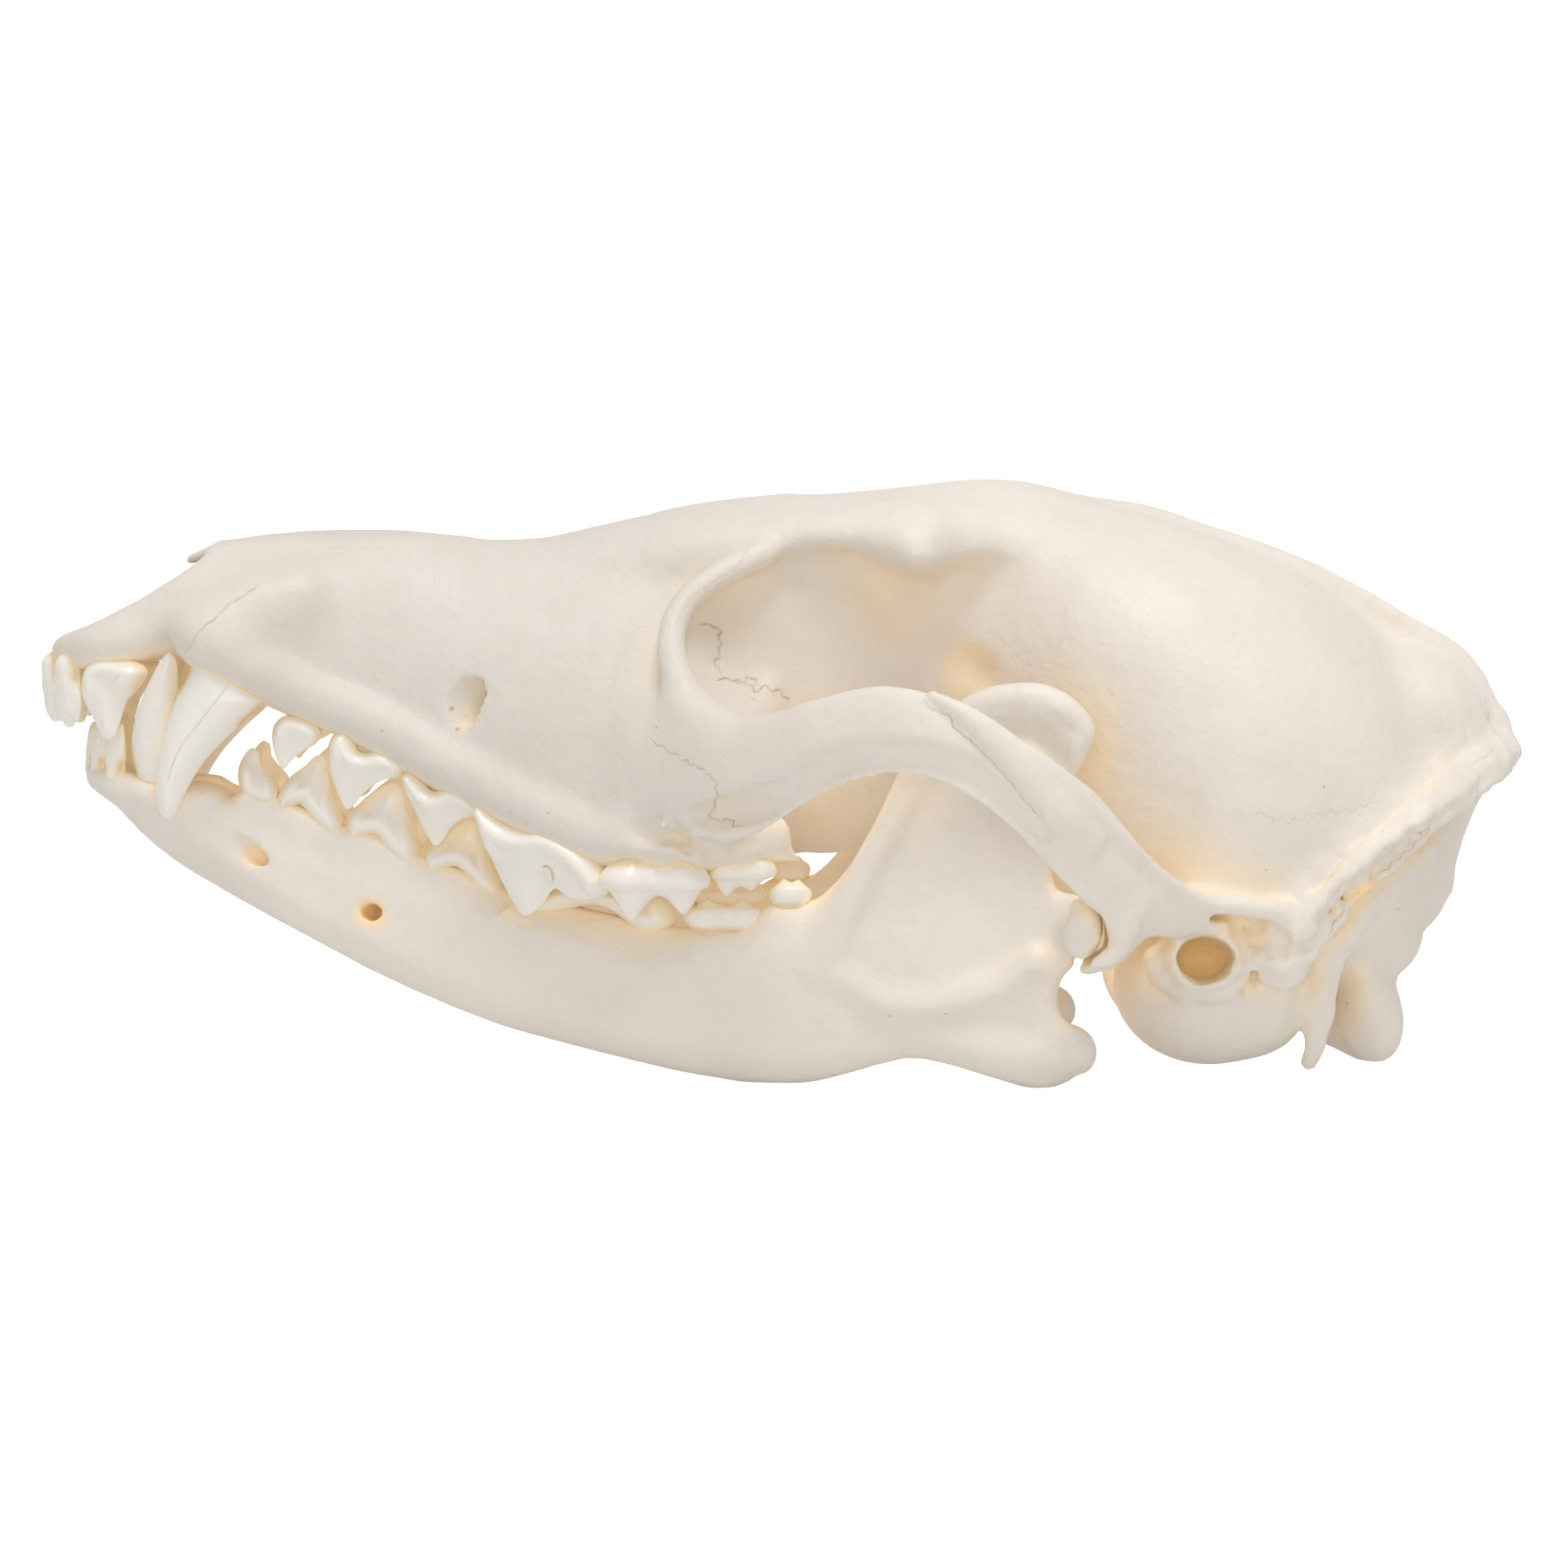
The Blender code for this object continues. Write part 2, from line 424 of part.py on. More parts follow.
def loft(p, rows):
    """Form with a rounded section that changes from station to station along x."""
    rows = np.asarray(rows, float)
    x, y, z = p.T
    top, bottom, widest, half, power_up, power_down = curve(rows, x).T
    above = z > widest
    high = np.where(above, top - widest, widest - bottom)
    power = np.where(above, power_up, power_down)
    across = y / half + 1e-6
    up = np.abs(z - widest) / high + 1e-6
    g = (across**power + up**power) ** (1 / power)
    steep = g ** (1 - power) * np.hypot(across ** (power - 1) / half, up ** (power - 1) / high)
    form = (g - 1) / np.maximum(steep, 1 / np.maximum(half, high))
    return np.maximum(form, np.maximum(rows[0, 0] - x, x - rows[-1, 0]))


def ellipsoid(p, centre, radii, pitch=0.0):
    """Form of an egg, its long side turned by pitch degrees about y."""
    q = p - np.asarray(centre, float)
    c, s = np.cos(np.radians(pitch)), np.sin(np.radians(pitch))
    q = np.stack([q[:, 0] * c - q[:, 2] * s, q[:, 1], q[:, 0] * s + q[:, 2] * c], 1)
    radii = np.asarray(radii, float)
    g = np.linalg.norm(q / radii, axis=1)
    return g * (g - 1) / np.maximum(np.linalg.norm(q / radii**2, axis=1), 1e-6)


def sweep(p, rows, up=(0, 0, 1), samples=40):
    """Form of a bar along a path, with an oval section that changes on the way."""
    rows = np.asarray(rows, float)
    at = np.arange(len(rows))[:, None]
    dense = curve(np.hstack([at, rows]), np.linspace(0, len(rows) - 1, samples))
    path, half_side, half_up = dense[:, :3], dense[:, 3], dense[:, 4]
    along = np.gradient(path, axis=0)
    along /= np.linalg.norm(along, axis=1)[:, None]
    up = np.asarray(up, float)
    high = up - along * (along @ up)[:, None]
    high /= np.linalg.norm(high, axis=1)[:, None]
    side = np.cross(along, high)
    form = np.full(len(p), FAR)
    reach = max(half_side.max(), half_up.max()) + 8
    near = np.all((p > path.min(0) - reach) & (p < path.max(0) + reach), axis=1)
    q = p[near]
    if not len(q):
        return form
    best = np.full(len(q), 1e9)
    where = np.zeros(len(q))
    for i in range(samples - 1):
        step = path[i + 1] - path[i]
        t = np.clip((q - path[i]) @ step / (step @ step), 0, 1)
        distance = ((q - path[i] - t[:, None] * step) ** 2).sum(1)
        less = distance < best
        best[less] = distance[less]
        where[less] = (i + t)[less]
    table = np.hstack([path, half_side[:, None], half_up[:, None], side, high, along])
    i = np.minimum(where.astype(int), samples - 2)
    t = (where - i)[:, None]
    v = table[i] * (1 - t) + table[i + 1] * t
    o = q - v[:, :3]
    parts = np.stack([(o * v[:, k:k + 3]).sum(1) for k in (5, 8, 11)], 1)
    halves = np.stack([v[:, 3], v[:, 4], np.minimum(v[:, 3], v[:, 4])], 1)
    g = np.linalg.norm(parts / halves, axis=1)
    steep = np.linalg.norm(parts / halves**2, axis=1) / np.maximum(g, 1e-6)
    form[near] = (g - 1) / np.maximum(steep, 1e-3)
    return form


def plate(p, line, middle, half, rounding):
    """Form of a plate with a closed outline seen from the side and a rounded rim."""
    x, z = p[:, 0], p[:, 2]
    best = np.full(len(p), 1e9)
    inside = np.zeros(len(p), bool)
    for (ax, az), (bx, bz) in zip(line, np.roll(line, -1, axis=0)):
        dx, dz = bx - ax, bz - az
        t = np.clip(((x - ax) * dx + (z - az) * dz) / (dx * dx + dz * dz + 1e-12), 0, 1)
        best = np.minimum(best, (x - ax - t * dx) ** 2 + (z - az - t * dz) ** 2)
        if dz:
            inside ^= ((az > z) != (bz > z)) & (x < ax + (z - az) / dz * dx)
    depth = np.where(inside, 1, -1) * np.sqrt(best)
    u = np.maximum(rounding - depth, 0) / rounding
    v = (p[:, 1] - middle) / half
    g = np.hypot(u, v)
    steep = np.hypot(u / rounding, v / half) / np.maximum(g, 1e-6)
    return (g - 1) / np.maximum(steep, 1 / np.maximum(rounding, half))


def limited(p, low, high, form):
    """The form worked out only for the points inside a box, and far away elsewhere."""
    out = np.full(len(p), FAR)
    near = np.all((p > low) & (p < high), axis=1)
    if near.any():
        out[near] = form(p[near])
    return out


def crest(p):
    """The thin crest along the top of the braincase."""
    return plate(p, ring(CREST_LINE, 90), 0.0, 1.2, 1.5)


def cranium(p):
    """The skull without its lower jaw; negative inside the bone."""
    p = p * [1, 1, 1]
    p[:, 1] = np.abs(p[:, 1])
    x, y, z = p.T
    f = loft(p, FACE)
    edge = curve(SNOUT_EDGE, x)[:, 0]
    f = carved(f, np.maximum((edge - z) * SNOUT_LEAN, x - SNOUT_BACK), 0.7)
    f = joined(f, sweep(p, UPPER_SOCKETS, samples=56), 1.6)
    f = carved(f, ellipsoid(p, *ORBIT), 2.0)
    f = joined(f, loft(p, WALL), 4.0)
    f = joined(f, loft(p, ROOF), 3.0)
    f = joined(f, loft(p, BRAINCASE), 4.0)
    f = joined(f, sweep(p, ORBIT_RIM), 3.0)
    f = joined(f, sweep(p, ARCH, samples=60), 3.5)
    f = joined(f, sweep(p, EAR_SHELF), 2.5)
    f = joined(f, ellipsoid(p, *OCCIPUT), 4.0)
    f = joined(f, ellipsoid(p, *CREST_ROOT), 3.0)
    f = joined(f, sweep(p, OCCIPITAL_RIDGE), 2.5)
    f = joined(f, sweep(p, NUCHAL, up=(0.6, 0.5, -0.6)), 3.0)
    f = joined(f, limited(p, *CREST_ROOM, crest), 3.0)
    f = joined(f, ellipsoid(p, *BULLA), 1.6)
    f = joined(f, sweep(p, EAR_TUBE), 1.2)
    f = joined(f, ellipsoid(p, *MASTOID), 1.8)
    f = joined(f, sweep(p, PAROCCIPITAL, up=(1, 0, 0)), 2.0)
    f = joined(f, sweep(p, POSTGLENOID), 2.0)
    f = joined(f, ellipsoid(p, *OCCIPITAL_CONDYLE), 2.0)
    f = carved(f, loft(p, NASAL_HOLE), 0.6)
    f = joined(f, loft(p, NASALS), 0.8)
    f = carved(f, loft(p, PALATE), 1.5)
    f = carved(f, loft(p, CHOANA), 1.5)
    f = carved(f, sweep(p, SPINE_HOLE), 1.0)
    f = carved(f, sweep(p, EAR_CANAL), 0.8)
    f = carved(f, ellipsoid(p, *INFRAORBITAL_HOLE), 0.8)
    f = carved(f, ellipsoid(p, *CANINE_NOTCH), 0.6)
    return carved(f, sweep(p, CONDYLE) - JOINT_GAP, 0.6)


def jaw_half(p):
    """The ramus and body of one half of the lower jaw."""
    middle, half, rounding = curve(JAW_BODY, p[:, 0]).T
    middle = middle + 0.05 * (p[:, 2] - 18) * np.clip((p[:, 0] + 10) / 20, 0, 1)
    f = plate(p, ring(JAW_LINE, 200), middle, half, rounding)
    f = joined(f, sweep(p, LOWER_SOCKETS), 1.5)
    f = joined(f, sweep(p, CONDYLE), 2.0)
    f = joined(f, sweep(p, ANGLE), 2.0)
    f = carved(f, ellipsoid(p, *JAW_HOLLOW), 2.0)
    return np.maximum(f, CHIN_GAP / 2 - p[:, 1])


def mandible(p):
    """Both halves of the lower jaw, kept clear of the skull and flat where they meet the floor."""
    p = p * [1, 1, 1]
    p[:, 1] = np.abs(p[:, 1])
    f = limited(p, *JAW_REACH, jaw_half)
    near = f < 3.0
    if near.any():
        f[near] = np.maximum(f[near], JAW_GAP - cranium(p[near]))
    return np.maximum(f, -p[:, 2])


def surface(form, low, high, grain):
    """Points and quads of the form's skin. Only points near the skin are worked out finely."""
    low, high = np.asarray(low, float), np.asarray(high, float)
    step = grain * ROUGH_STEPS
    count = np.ceil((high - low) / step).astype(int) + 1
    axes = [low[i] + np.arange(count[i]) * step for i in range(3)]
    rough = form(np.stack(np.meshgrid(*axes, indexing="ij"), -1).reshape(-1, 3)).reshape(count)
    reach = step * 1.5
    fine = np.clip(rough, -reach, reach).astype(np.float32)
    for axis in range(3):
        fine = np.repeat(fine, ROUGH_STEPS, axis)
    start = low - (ROUGH_STEPS - 1) / 2 * grain
    near = np.abs(fine) < reach
    places = start + np.argwhere(near) * grain
    found = [form(places[i:i + 400000]) for i in range(0, len(places), 400000)]
    fine[near] = np.concatenate(found)
    grid = openvdb.FloatGrid(background=float(reach))
    grid.copyFromArray(fine)
    grid.transform = openvdb.createLinearTransform(voxelSize=grain)
    points, quads = grid.convertToQuads(isovalue=0.0)
    return points + start, quads[:, ::-1]


def stacked(rings_of_points, first, last):
    """Closed surface from a stack of rings, with one point at each end."""
    points = np.vstack([first[None], *rings_of_points, last[None]])
    n = len(rings_of_points[0])
    k = np.arange(n)
    ahead = (k + 1) % n
    faces = [(0, 1 + a, 1 + b) for a, b in zip(k, ahead)]
    for j in range(len(rings_of_points) - 1):
        s, t = 1 + j * n, 1 + (j + 1) * n
        faces += [(s + a, t + a, t + b, s + b) for a, b in zip(k, ahead)]
    s = 1 + (len(rings_of_points) - 1) * n
    faces += [(len(points) - 1, s + b, s + a) for a, b in zip(k, ahead)]
    return points, faces


def blade_tooth(row, sides, rings):
    """Crown and root with one side outline, swollen on both faces and thinner towards tip and root."""
    kind, x0, y0, x1, y1, neck0, neck1, tip, half, lean = row
    outline = np.array(CROWNS[kind])
    line = ring(outline, sides)
    centre = np.array([0.45, 0.08])
    start, along = np.array([x0, y0]), np.array([x1 - x0, y1 - y0])
    across = np.array([-along[1], along[0]]) / np.linalg.norm(along)
    peak = np.clip(outline[np.argmax(outline[:, 1]), 0], 0, 1)
    height = tip - (neck0 + (neck1 - neck0) * peak)

    def placed(q, side):
        a, h = q[:, 0], q[:, 1]
        swell = half * (1 - 0.4 * np.clip(h, 0, 1) ** 1.5) * (1 - 0.9 * np.clip(-h, 0, 0.6))
        h = np.where(h < 0, h * ROOT / abs(height), h)
        xy = start + a[:, None] * along + (side * swell)[:, None] * across
        y = xy[:, 1] + lean * np.clip(h, 0, 1)
        return np.stack([xy[:, 0], y, neck0 + (neck1 - neck0) * a + h * height], 1)

    out = np.sin(np.linspace(0, np.pi / 2, rings + 1))[1:-1]
    near_side = [placed(centre + (line - centre) * r, np.full(sides, np.sqrt(1 - r * r))) for r in out]
    far_side = [placed(centre + (line - centre) * r, np.full(sides, -np.sqrt(1 - r * r)))
                for r in out[::-1]]
    rim = [placed(line, np.zeros(sides))]
    ends = [placed(centre[None], np.array([side]))[0] for side in (1.0, -1.0)]
    return stacked(near_side + rim + far_side, *ends)


def grinding_tooth(row, sides, rings, way):
    """Crown over a plan outline with rounded cusps; way -1 points the cusps down."""
    x0, y0, neck, crown, plan, cusps = row
    line = ring(plan, sides)

    def height(xy):
        bumps = [h * np.exp(-((xy - (a, b)) ** 2).sum(1) / w**2) for a, b, h, w in cusps]
        return crown * 0.72 + sum(bumps)

    layers = []
    for r in np.linspace(0, 1, rings + 1)[1:]:
        xy = line * r * 0.92
        layers.append(np.hstack([xy, (height(xy) * (1 - 0.25 * r**4))[:, None]]))
    for scale, level in ((1.0, 0.3), (0.92, -0.15), (0.72, -0.7)):
        layers.append(np.hstack([line * scale, np.full((sides, 1), level * crown)]))
    top = np.array([0.0, 0.0, height(np.zeros((1, 2)))[0]])
    points, faces = stacked(layers, top, np.array([0.0, 0.0, -1.1 * crown]))
    return points * [1, 1, way] + [x0, y0, neck], faces


def outward(points, faces):
    """The faces, turned round where they point inwards."""
    volume = 0.0
    for face in faces:
        for i in range(1, len(face) - 1):
            volume += points[face[0]] @ np.cross(points[face[i]], points[face[i + 1]])
    return faces if volume > 0 else [face[::-1] for face in faces]


def teeth(blades, molars, way, sides, rings):
    """All the teeth of one side of one jaw, on the +Y side."""
    made = [blade_tooth(row, sides, rings) for row in blades]
    made += [grinding_tooth(row, sides, rings, way) for row in molars]
    return [(points, outward(points, faces)) for points, faces in made]


def mirrored(points, faces):
    """The same surface on the other side of the skull."""
    return points * [1, -1, 1], [face[::-1] for face in faces]


def mesh_object(name, points, faces, home):
    """An object from points in millimetres."""
    mesh = bpy.data.meshes.new(name)
    mesh.from_pydata((np.asarray(points) * MM).tolist(), [], [[int(i) for i in face] for face in faces])
    mesh.validate()
    obj = bpy.data.objects.new(name, mesh)
    home.objects.link(obj)
    return obj


def applied(obj, modifier_type, **settings):
    """The object with one modifier set up and applied."""
    modifier = obj.modifiers.new(modifier_type, modifier_type)
    for key, value in settings.items():
        setattr(modifier, key, value)
    bpy.context.view_layer.update()
    done = bpy.data.meshes.new_from_object(obj.evaluated_get(bpy.context.evaluated_depsgraph_get()))
    obj.modifiers.clear()
    obj.data = done
    return obj


def largest_piece(obj):
    """Leaves only the largest closed surface of the object."""
    mesh = obj.data
    parent = list(range(len(mesh.vertices)))

    def root(i):
        while parent[i] != i:
            parent[i] = parent[parent[i]]
            i = parent[i]
        return i

    for edge in mesh.edges:
        a, b = root(edge.vertices[0]), root(edge.vertices[1])
        parent[a] = b
    roots = np.array([root(i) for i in range(len(parent))])
    names, counts = np.unique(roots, return_counts=True)
    keep = roots == names[counts.argmax()]
    if keep.all():
        return
    number = np.cumsum(keep) - 1
    points = np.array([v.co[:] for v in mesh.vertices])[keep]
    kept = [face for face in mesh.polygons if keep[face.vertices[0]]]
    faces = [[int(number[i]) for i in face.vertices] for face in kept]
    fresh = bpy.data.meshes.new(obj.name)
    fresh.from_pydata(points.tolist(), [], faces)
    obj.data = fresh


def fused(bone, crowns):
    """The bone with the crowns joined to it by one Boolean union."""
    tray = bpy.data.collections.new("crowns")
    bpy.context.scene.collection.children.link(tray)
    for i, (points, faces) in enumerate(crowns):
        mesh_object(f"crown_{i}", points, faces, tray)
    applied(bone, "BOOLEAN", operation="UNION", operand_type="COLLECTION", collection=tray,
            solver="EXACT")
    for obj in list(tray.objects):
        bpy.data.objects.remove(obj)
    bpy.data.collections.remove(tray)
    largest_piece(bone)
    return bone


def coloured(obj, name, colour, roughness):
    """Gives the object a material of its own."""
    material = bpy.data.materials.new(name)
    material.use_nodes = True
    shader = material.node_tree.nodes["Principled BSDF"]
    shader.inputs["Base Color"].default_value = (*colour, 1.0)
    shader.inputs["Roughness"].default_value = roughness
    obj.data.materials.clear()
    obj.data.materials.append(material)


def reduced(obj, triangles):
    """The object with its surface made of about so many triangles."""
    obj.data.calc_loop_triangles()
    share = triangles / len(obj.data.loop_triangles)
    return applied(obj, "DECIMATE", ratio=min(1.0, share), use_collapse_triangulate=True)


def build():
    """Clears the scene and makes the skull and the two halves of its jaw."""
    for obj in list(bpy.data.objects):
        bpy.data.objects.remove(obj)
    scene = bpy.context.scene.collection
    upper = teeth(UPPER_TEETH, UPPER_MOLARS, -1, TOOTH_SIDES, TOOTH_RINGS)
    lower = teeth(LOWER_TEETH, LOWER_MOLARS, 1, TOOTH_SIDES, TOOTH_RINGS)
    skull = mesh_object("cranium", *surface(cranium, *SKULL_ROOM, GRAIN), scene)
    skull = fused(reduced(skull, CRANIUM_TRIANGLES), upper + [mirrored(*tooth) for tooth in upper])
    coloured(skull, "cranium_bone", SKULL_COLOUR, BONE_ROUGHNESS)
    points, faces = surface(mandible, *JAW_ROOM, GRAIN)
    right = mesh_object("mandible_right", points, faces, scene)
    right = fused(reduced(right, JAW_TRIANGLES), lower)
    points = np.array([v.co[:] for v in right.data.vertices]) / MM
    points[points[:, 2] < FLOOR_SNAP, 2] = 0.0
    faces = [list(face.vertices) for face in right.data.polygons]
    bpy.data.objects.remove(right)
    halves = {"mandible_right": (points, faces), "mandible_left": mirrored(points, faces)}
    for name, shape in halves.items():
        coloured(mesh_object(name, *shape, scene), name + "_bone", JAW_COLOUR, BONE_ROUGHNESS)


if __name__ == "__main__":
    build()
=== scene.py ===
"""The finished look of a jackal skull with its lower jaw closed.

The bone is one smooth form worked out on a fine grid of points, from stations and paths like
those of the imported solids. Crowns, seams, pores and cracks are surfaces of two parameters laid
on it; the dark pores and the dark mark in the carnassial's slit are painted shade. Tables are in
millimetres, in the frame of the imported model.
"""

import bpy
import numpy as np
import openvdb
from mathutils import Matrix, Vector
from mathutils.bvhtree import BVHTree


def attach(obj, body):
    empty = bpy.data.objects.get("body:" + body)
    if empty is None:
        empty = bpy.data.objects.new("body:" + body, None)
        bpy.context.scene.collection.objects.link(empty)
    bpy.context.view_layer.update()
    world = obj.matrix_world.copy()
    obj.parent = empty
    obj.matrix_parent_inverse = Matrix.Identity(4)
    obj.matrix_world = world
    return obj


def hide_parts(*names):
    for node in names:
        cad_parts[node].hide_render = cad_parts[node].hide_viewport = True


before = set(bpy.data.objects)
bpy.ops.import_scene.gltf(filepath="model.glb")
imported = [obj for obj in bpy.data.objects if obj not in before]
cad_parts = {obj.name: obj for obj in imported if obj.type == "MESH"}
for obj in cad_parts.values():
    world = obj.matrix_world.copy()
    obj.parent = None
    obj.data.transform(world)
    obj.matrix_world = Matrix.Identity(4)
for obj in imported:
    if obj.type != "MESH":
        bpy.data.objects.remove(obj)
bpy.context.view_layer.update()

MM = 0.001
# The boxes that are filled with points: low corner, high corner
SKULL_BOX = ((-84, -48, -3), (84, 48, 68))
JAW_BOX = ((-80, -1, -3), (38, 41, 48))
# The fine grid's step, how many of its steps make one of the rough grid, how many points are worked
# out at once, and how many triangles of the bone are kept
SKULL_GRAIN = 0.46
JAW_GRAIN = 0.44
ROUGH_STEPS = 4
BATCH = 400000
SKULL_TRIANGLES = 190000
JAW_TRIANGLES = 90000
# Clear space in the jaw joint, between the jaw and the skull elsewhere, and between the jaw's halves;
# and how near the jaw the skull is looked at for it
JOINT_GAP = 0.7
JAW_GAP = 0.7
CHIN_GAP = 0.3
GAP_REACH = 3.0
# Value of a bar's form far away from it, and how far from it the form is worked out
FAR = 30.0
NEAR = 8
# The bone's unevenness: size and height of the bumps, how near the surface they are worked out, how
# many random values they pick from, and the steps of their key along x, y and z
BUMP_SIZE = 5.0
BUMP_HEIGHT = 0.07
BUMP_REACH = 1.5
BUMP_VALUES = 4096
BUMP_KEY = (73, 179, 283)
SKULL_SEED, JAW_SEED, EAR_SEED, PORE_SEED, CRACK_SEED = 11, 21, 5, 7, 99

# The photograph: its side in pixels, the size of one pixel on the skull's middle plane, and the camera
PHOTO_PIXELS = 1932
PIXEL_MM = 0.0879
CAMERA_DISTANCE = 750.0
CAMERA_ELEVATION = 3.0
CAMERA_TARGET = (0.26, 0.0, 30.6)
SENSOR_WIDTH = 36.0
# Strength of the light tent and of the lit floor: first as the skull gets it, then as the camera sees it
TENT_LIGHT, TENT_SEEN = 0.70, 1.04
FLOOR_LIGHT, FLOOR_SEEN = 0.26, 0.86
# Colour of the tent's light as the skull gets it, a little warmer than the white that the camera sees
TENT_COLOUR = (1.0, 0.97, 0.93)
# The floor, in metres: grey, half side, and how far it lies below the skull
FLOOR_GREY, FLOOR_HALF, FLOOR_DROP = 0.58, 6, 0.0002
# Soft lamps: place in metres, watts, size; and where they point
LAMPS = [
    ((0.08, -0.3, 0.86), 3.5, 0.35),
    ((0.0, -0.95, 0.085), 1.35, 0.3),
]
LAMP_AIM = (0, 0, 0.03)
# Warm glow of thin bone and enamel that let the light through: place in millimetres, milliwatts, radius
GLOWS = [
    (-50, 0, 33, 0.9, 3), (-34, 0, 29, 1.2, 4), (-18, 0, 24, 1.4, 4), (-4, 0, 24, 1.3, 4),
    (-62, 0, 34.5, 0.25, 2), (24, 0, 7, 4, 5), (3, 19, 33, 0.9, 3), (3, -19, 33, 0.9, 3),
    (28, 19.5, 24, 0.3, 2.5), (28, -19.5, 24, 0.3, 2.5),
]
GLOW_COLOUR = (1.0, 0.75, 0.44)
# Between which places, in metres, the painted shade that darkens the face changes from the nose to the back
FACE_SHADE_ENDS = (-0.078, 0.018)
# How much of the light goes into bone and enamel
LIGHT_SHARE = 0.15

# Stations along the skull: x, top, bottom, height of the widest line, half width, and how
# square the section is above and below that line
FACE = [
    (-77.6, 45.8, 43.4, 44.4, 3.0, 2.0, 2.0),
    (-76.0, 49.4, 42.9, 44.4, 6.2, 2.1, 2.4),
    (-73.5, 52.0, 42.9, 44.8, 8.2, 2.2, 2.6),
    (-70.0, 54.4, 43.3, 45.6, 9.4, 2.2, 2.6),
    (-66.0, 56.0, 43.9, 46.6, 10.2, 2.3, 2.6),
    (-62.0, 56.6, 43.6, 46.8, 11.4, 2.3, 2.8),
    (-58.0, 56.9, 41.0, 45.2, 12.6, 2.3, 3.0),
    (-53.0, 57.6, 38.4, 43.0, 12.4, 2.3, 3.2),
    (-47.0, 57.9, 36.6, 41.0, 12.3, 2.2, 3.4),
    (-41.0, 57.9, 33.6, 38.4, 13.2, 2.1, 3.4),
    (-36.0, 57.5, 31.2, 36.0, 14.8, 2.0, 3.6),
    (-31.0, 57.1, 28.6, 33.6, 17.2, 1.9, 3.8),
    (-26.0, 57.3, 26.0, 31.4, 20.0, 1.8, 4.0),
    (-20.0, 58.4, 23.4, 29.4, 22.8, 1.7, 4.0),
    (-14.0, 59.4, 22.3, 29.0, 25.0, 1.6, 4.0),
    (-8.0, 60.3, 22.2, 30.0, 25.8, 1.6, 3.6),
    (-4.0, 60.7, 22.8, 30.6, 23.4, 1.6, 3.0),
    (-1.0, 60.9, 23.8, 31.0, 17.6, 1.6, 2.6),
    (1.0, 61.0, 25.0, 31.0, 13.0, 1.6, 2.2),
    (2.4, 60.0, 26.8, 31.0, 9.0, 1.6, 2.0),
]
WALL = [
    (-12.0, 59.0, 24.0, 44.0, 13.0, 2.4, 2.6),
    (-4.0, 60.3, 22.4, 46.0, 12.6, 2.4, 2.6),
    (4.0, 61.0, 20.6, 46.0, 12.2, 2.6, 2.6),
    (10.0, 61.6, 18.8, 46.0, 11.4, 2.6, 2.4),
    (16.0, 62.0, 16.6, 45.0, 11.4, 2.4, 2.2),
    (22.0, 61.8, 14.4, 44.0, 12.8, 2.2, 2.0),
    (28.0, 60.0, 12.6, 42.0, 15.0, 2.1, 2.0),
    (34.0, 56.0, 12.4, 38.0, 16.0, 2.0, 2.0),
    (40.0, 48.0, 14.0, 32.0, 12.0, 2.0, 2.0),
]
ROOF = [
    (-26.0, 54.4, 49.0, 52.0, 5.0, 2.0, 2.0),
    (-18.0, 57.6, 50.5, 54.0, 9.6, 2.2, 2.0),
    (-10.0, 59.9, 51.5, 55.0, 13.0, 2.4, 2.0),
    (-3.0, 60.9, 52.4, 55.8, 14.2, 2.4, 2.0),
    (3.0, 61.4, 53.8, 57.4, 14.8, 2.4, 1.8),
    (7.0, 61.5, 53.8, 57.4, 16.4, 2.4, 1.8),
    (10.5, 61.8, 53.2, 56.8, 19.2, 2.4, 1.8),
    (13.5, 62.1, 52.4, 55.8, 21.6, 2.4, 1.8),
    (15.6, 62.2, 52.2, 55.6, 21.2, 2.4, 1.8),
    (18.6, 62.2, 52.6, 56.2, 16.8, 2.4, 1.8),
    (22.0, 62.0, 52.6, 56.4, 14.2, 2.4, 1.8),
    (28.0, 61.2, 50.0, 55.0, 12.4, 2.3, 1.8),
    (34.0, 58.6, 46.0, 52.0, 9.6, 2.0, 1.8),
    (40.0, 56.0, 42.0, 48.0, 5.0, 2.0, 2.0),
]
BRAINCASE = [
    (12.0, 58.0, 32.0, 46.0, 4.0, 2.0, 2.0),
    (18.0, 61.6, 24.0, 45.0, 8.6, 2.0, 1.9),
    (23.0, 62.6, 19.0, 43.5, 13.4, 2.0, 1.9),
    (28.0, 62.3, 14.6, 41.5, 18.2, 2.0, 2.0),
    (34.0, 61.2, 11.2, 39.2, 22.8, 2.0, 2.1),
    (40.0, 59.6, 9.6, 37.0, 25.6, 2.0, 2.2),
    (46.0, 57.7, 9.2, 35.0, 26.9, 2.0, 2.3),
    (52.0, 55.4, 9.2, 33.5, 26.4, 2.0, 2.4),
    (58.0, 52.2, 9.8, 31.5, 23.8, 2.0, 2.4),
    (63.0, 48.4, 11.0, 29.5, 19.6, 2.0, 2.4),
    (67.0, 43.6, 12.6, 28.0, 14.6, 2.0, 2.2),
    (70.0, 38.6, 14.8, 27.0, 9.6, 2.0, 2.0),
    (72.5, 33.0, 19.0, 26.5, 4.6, 2.0, 2.0),
]
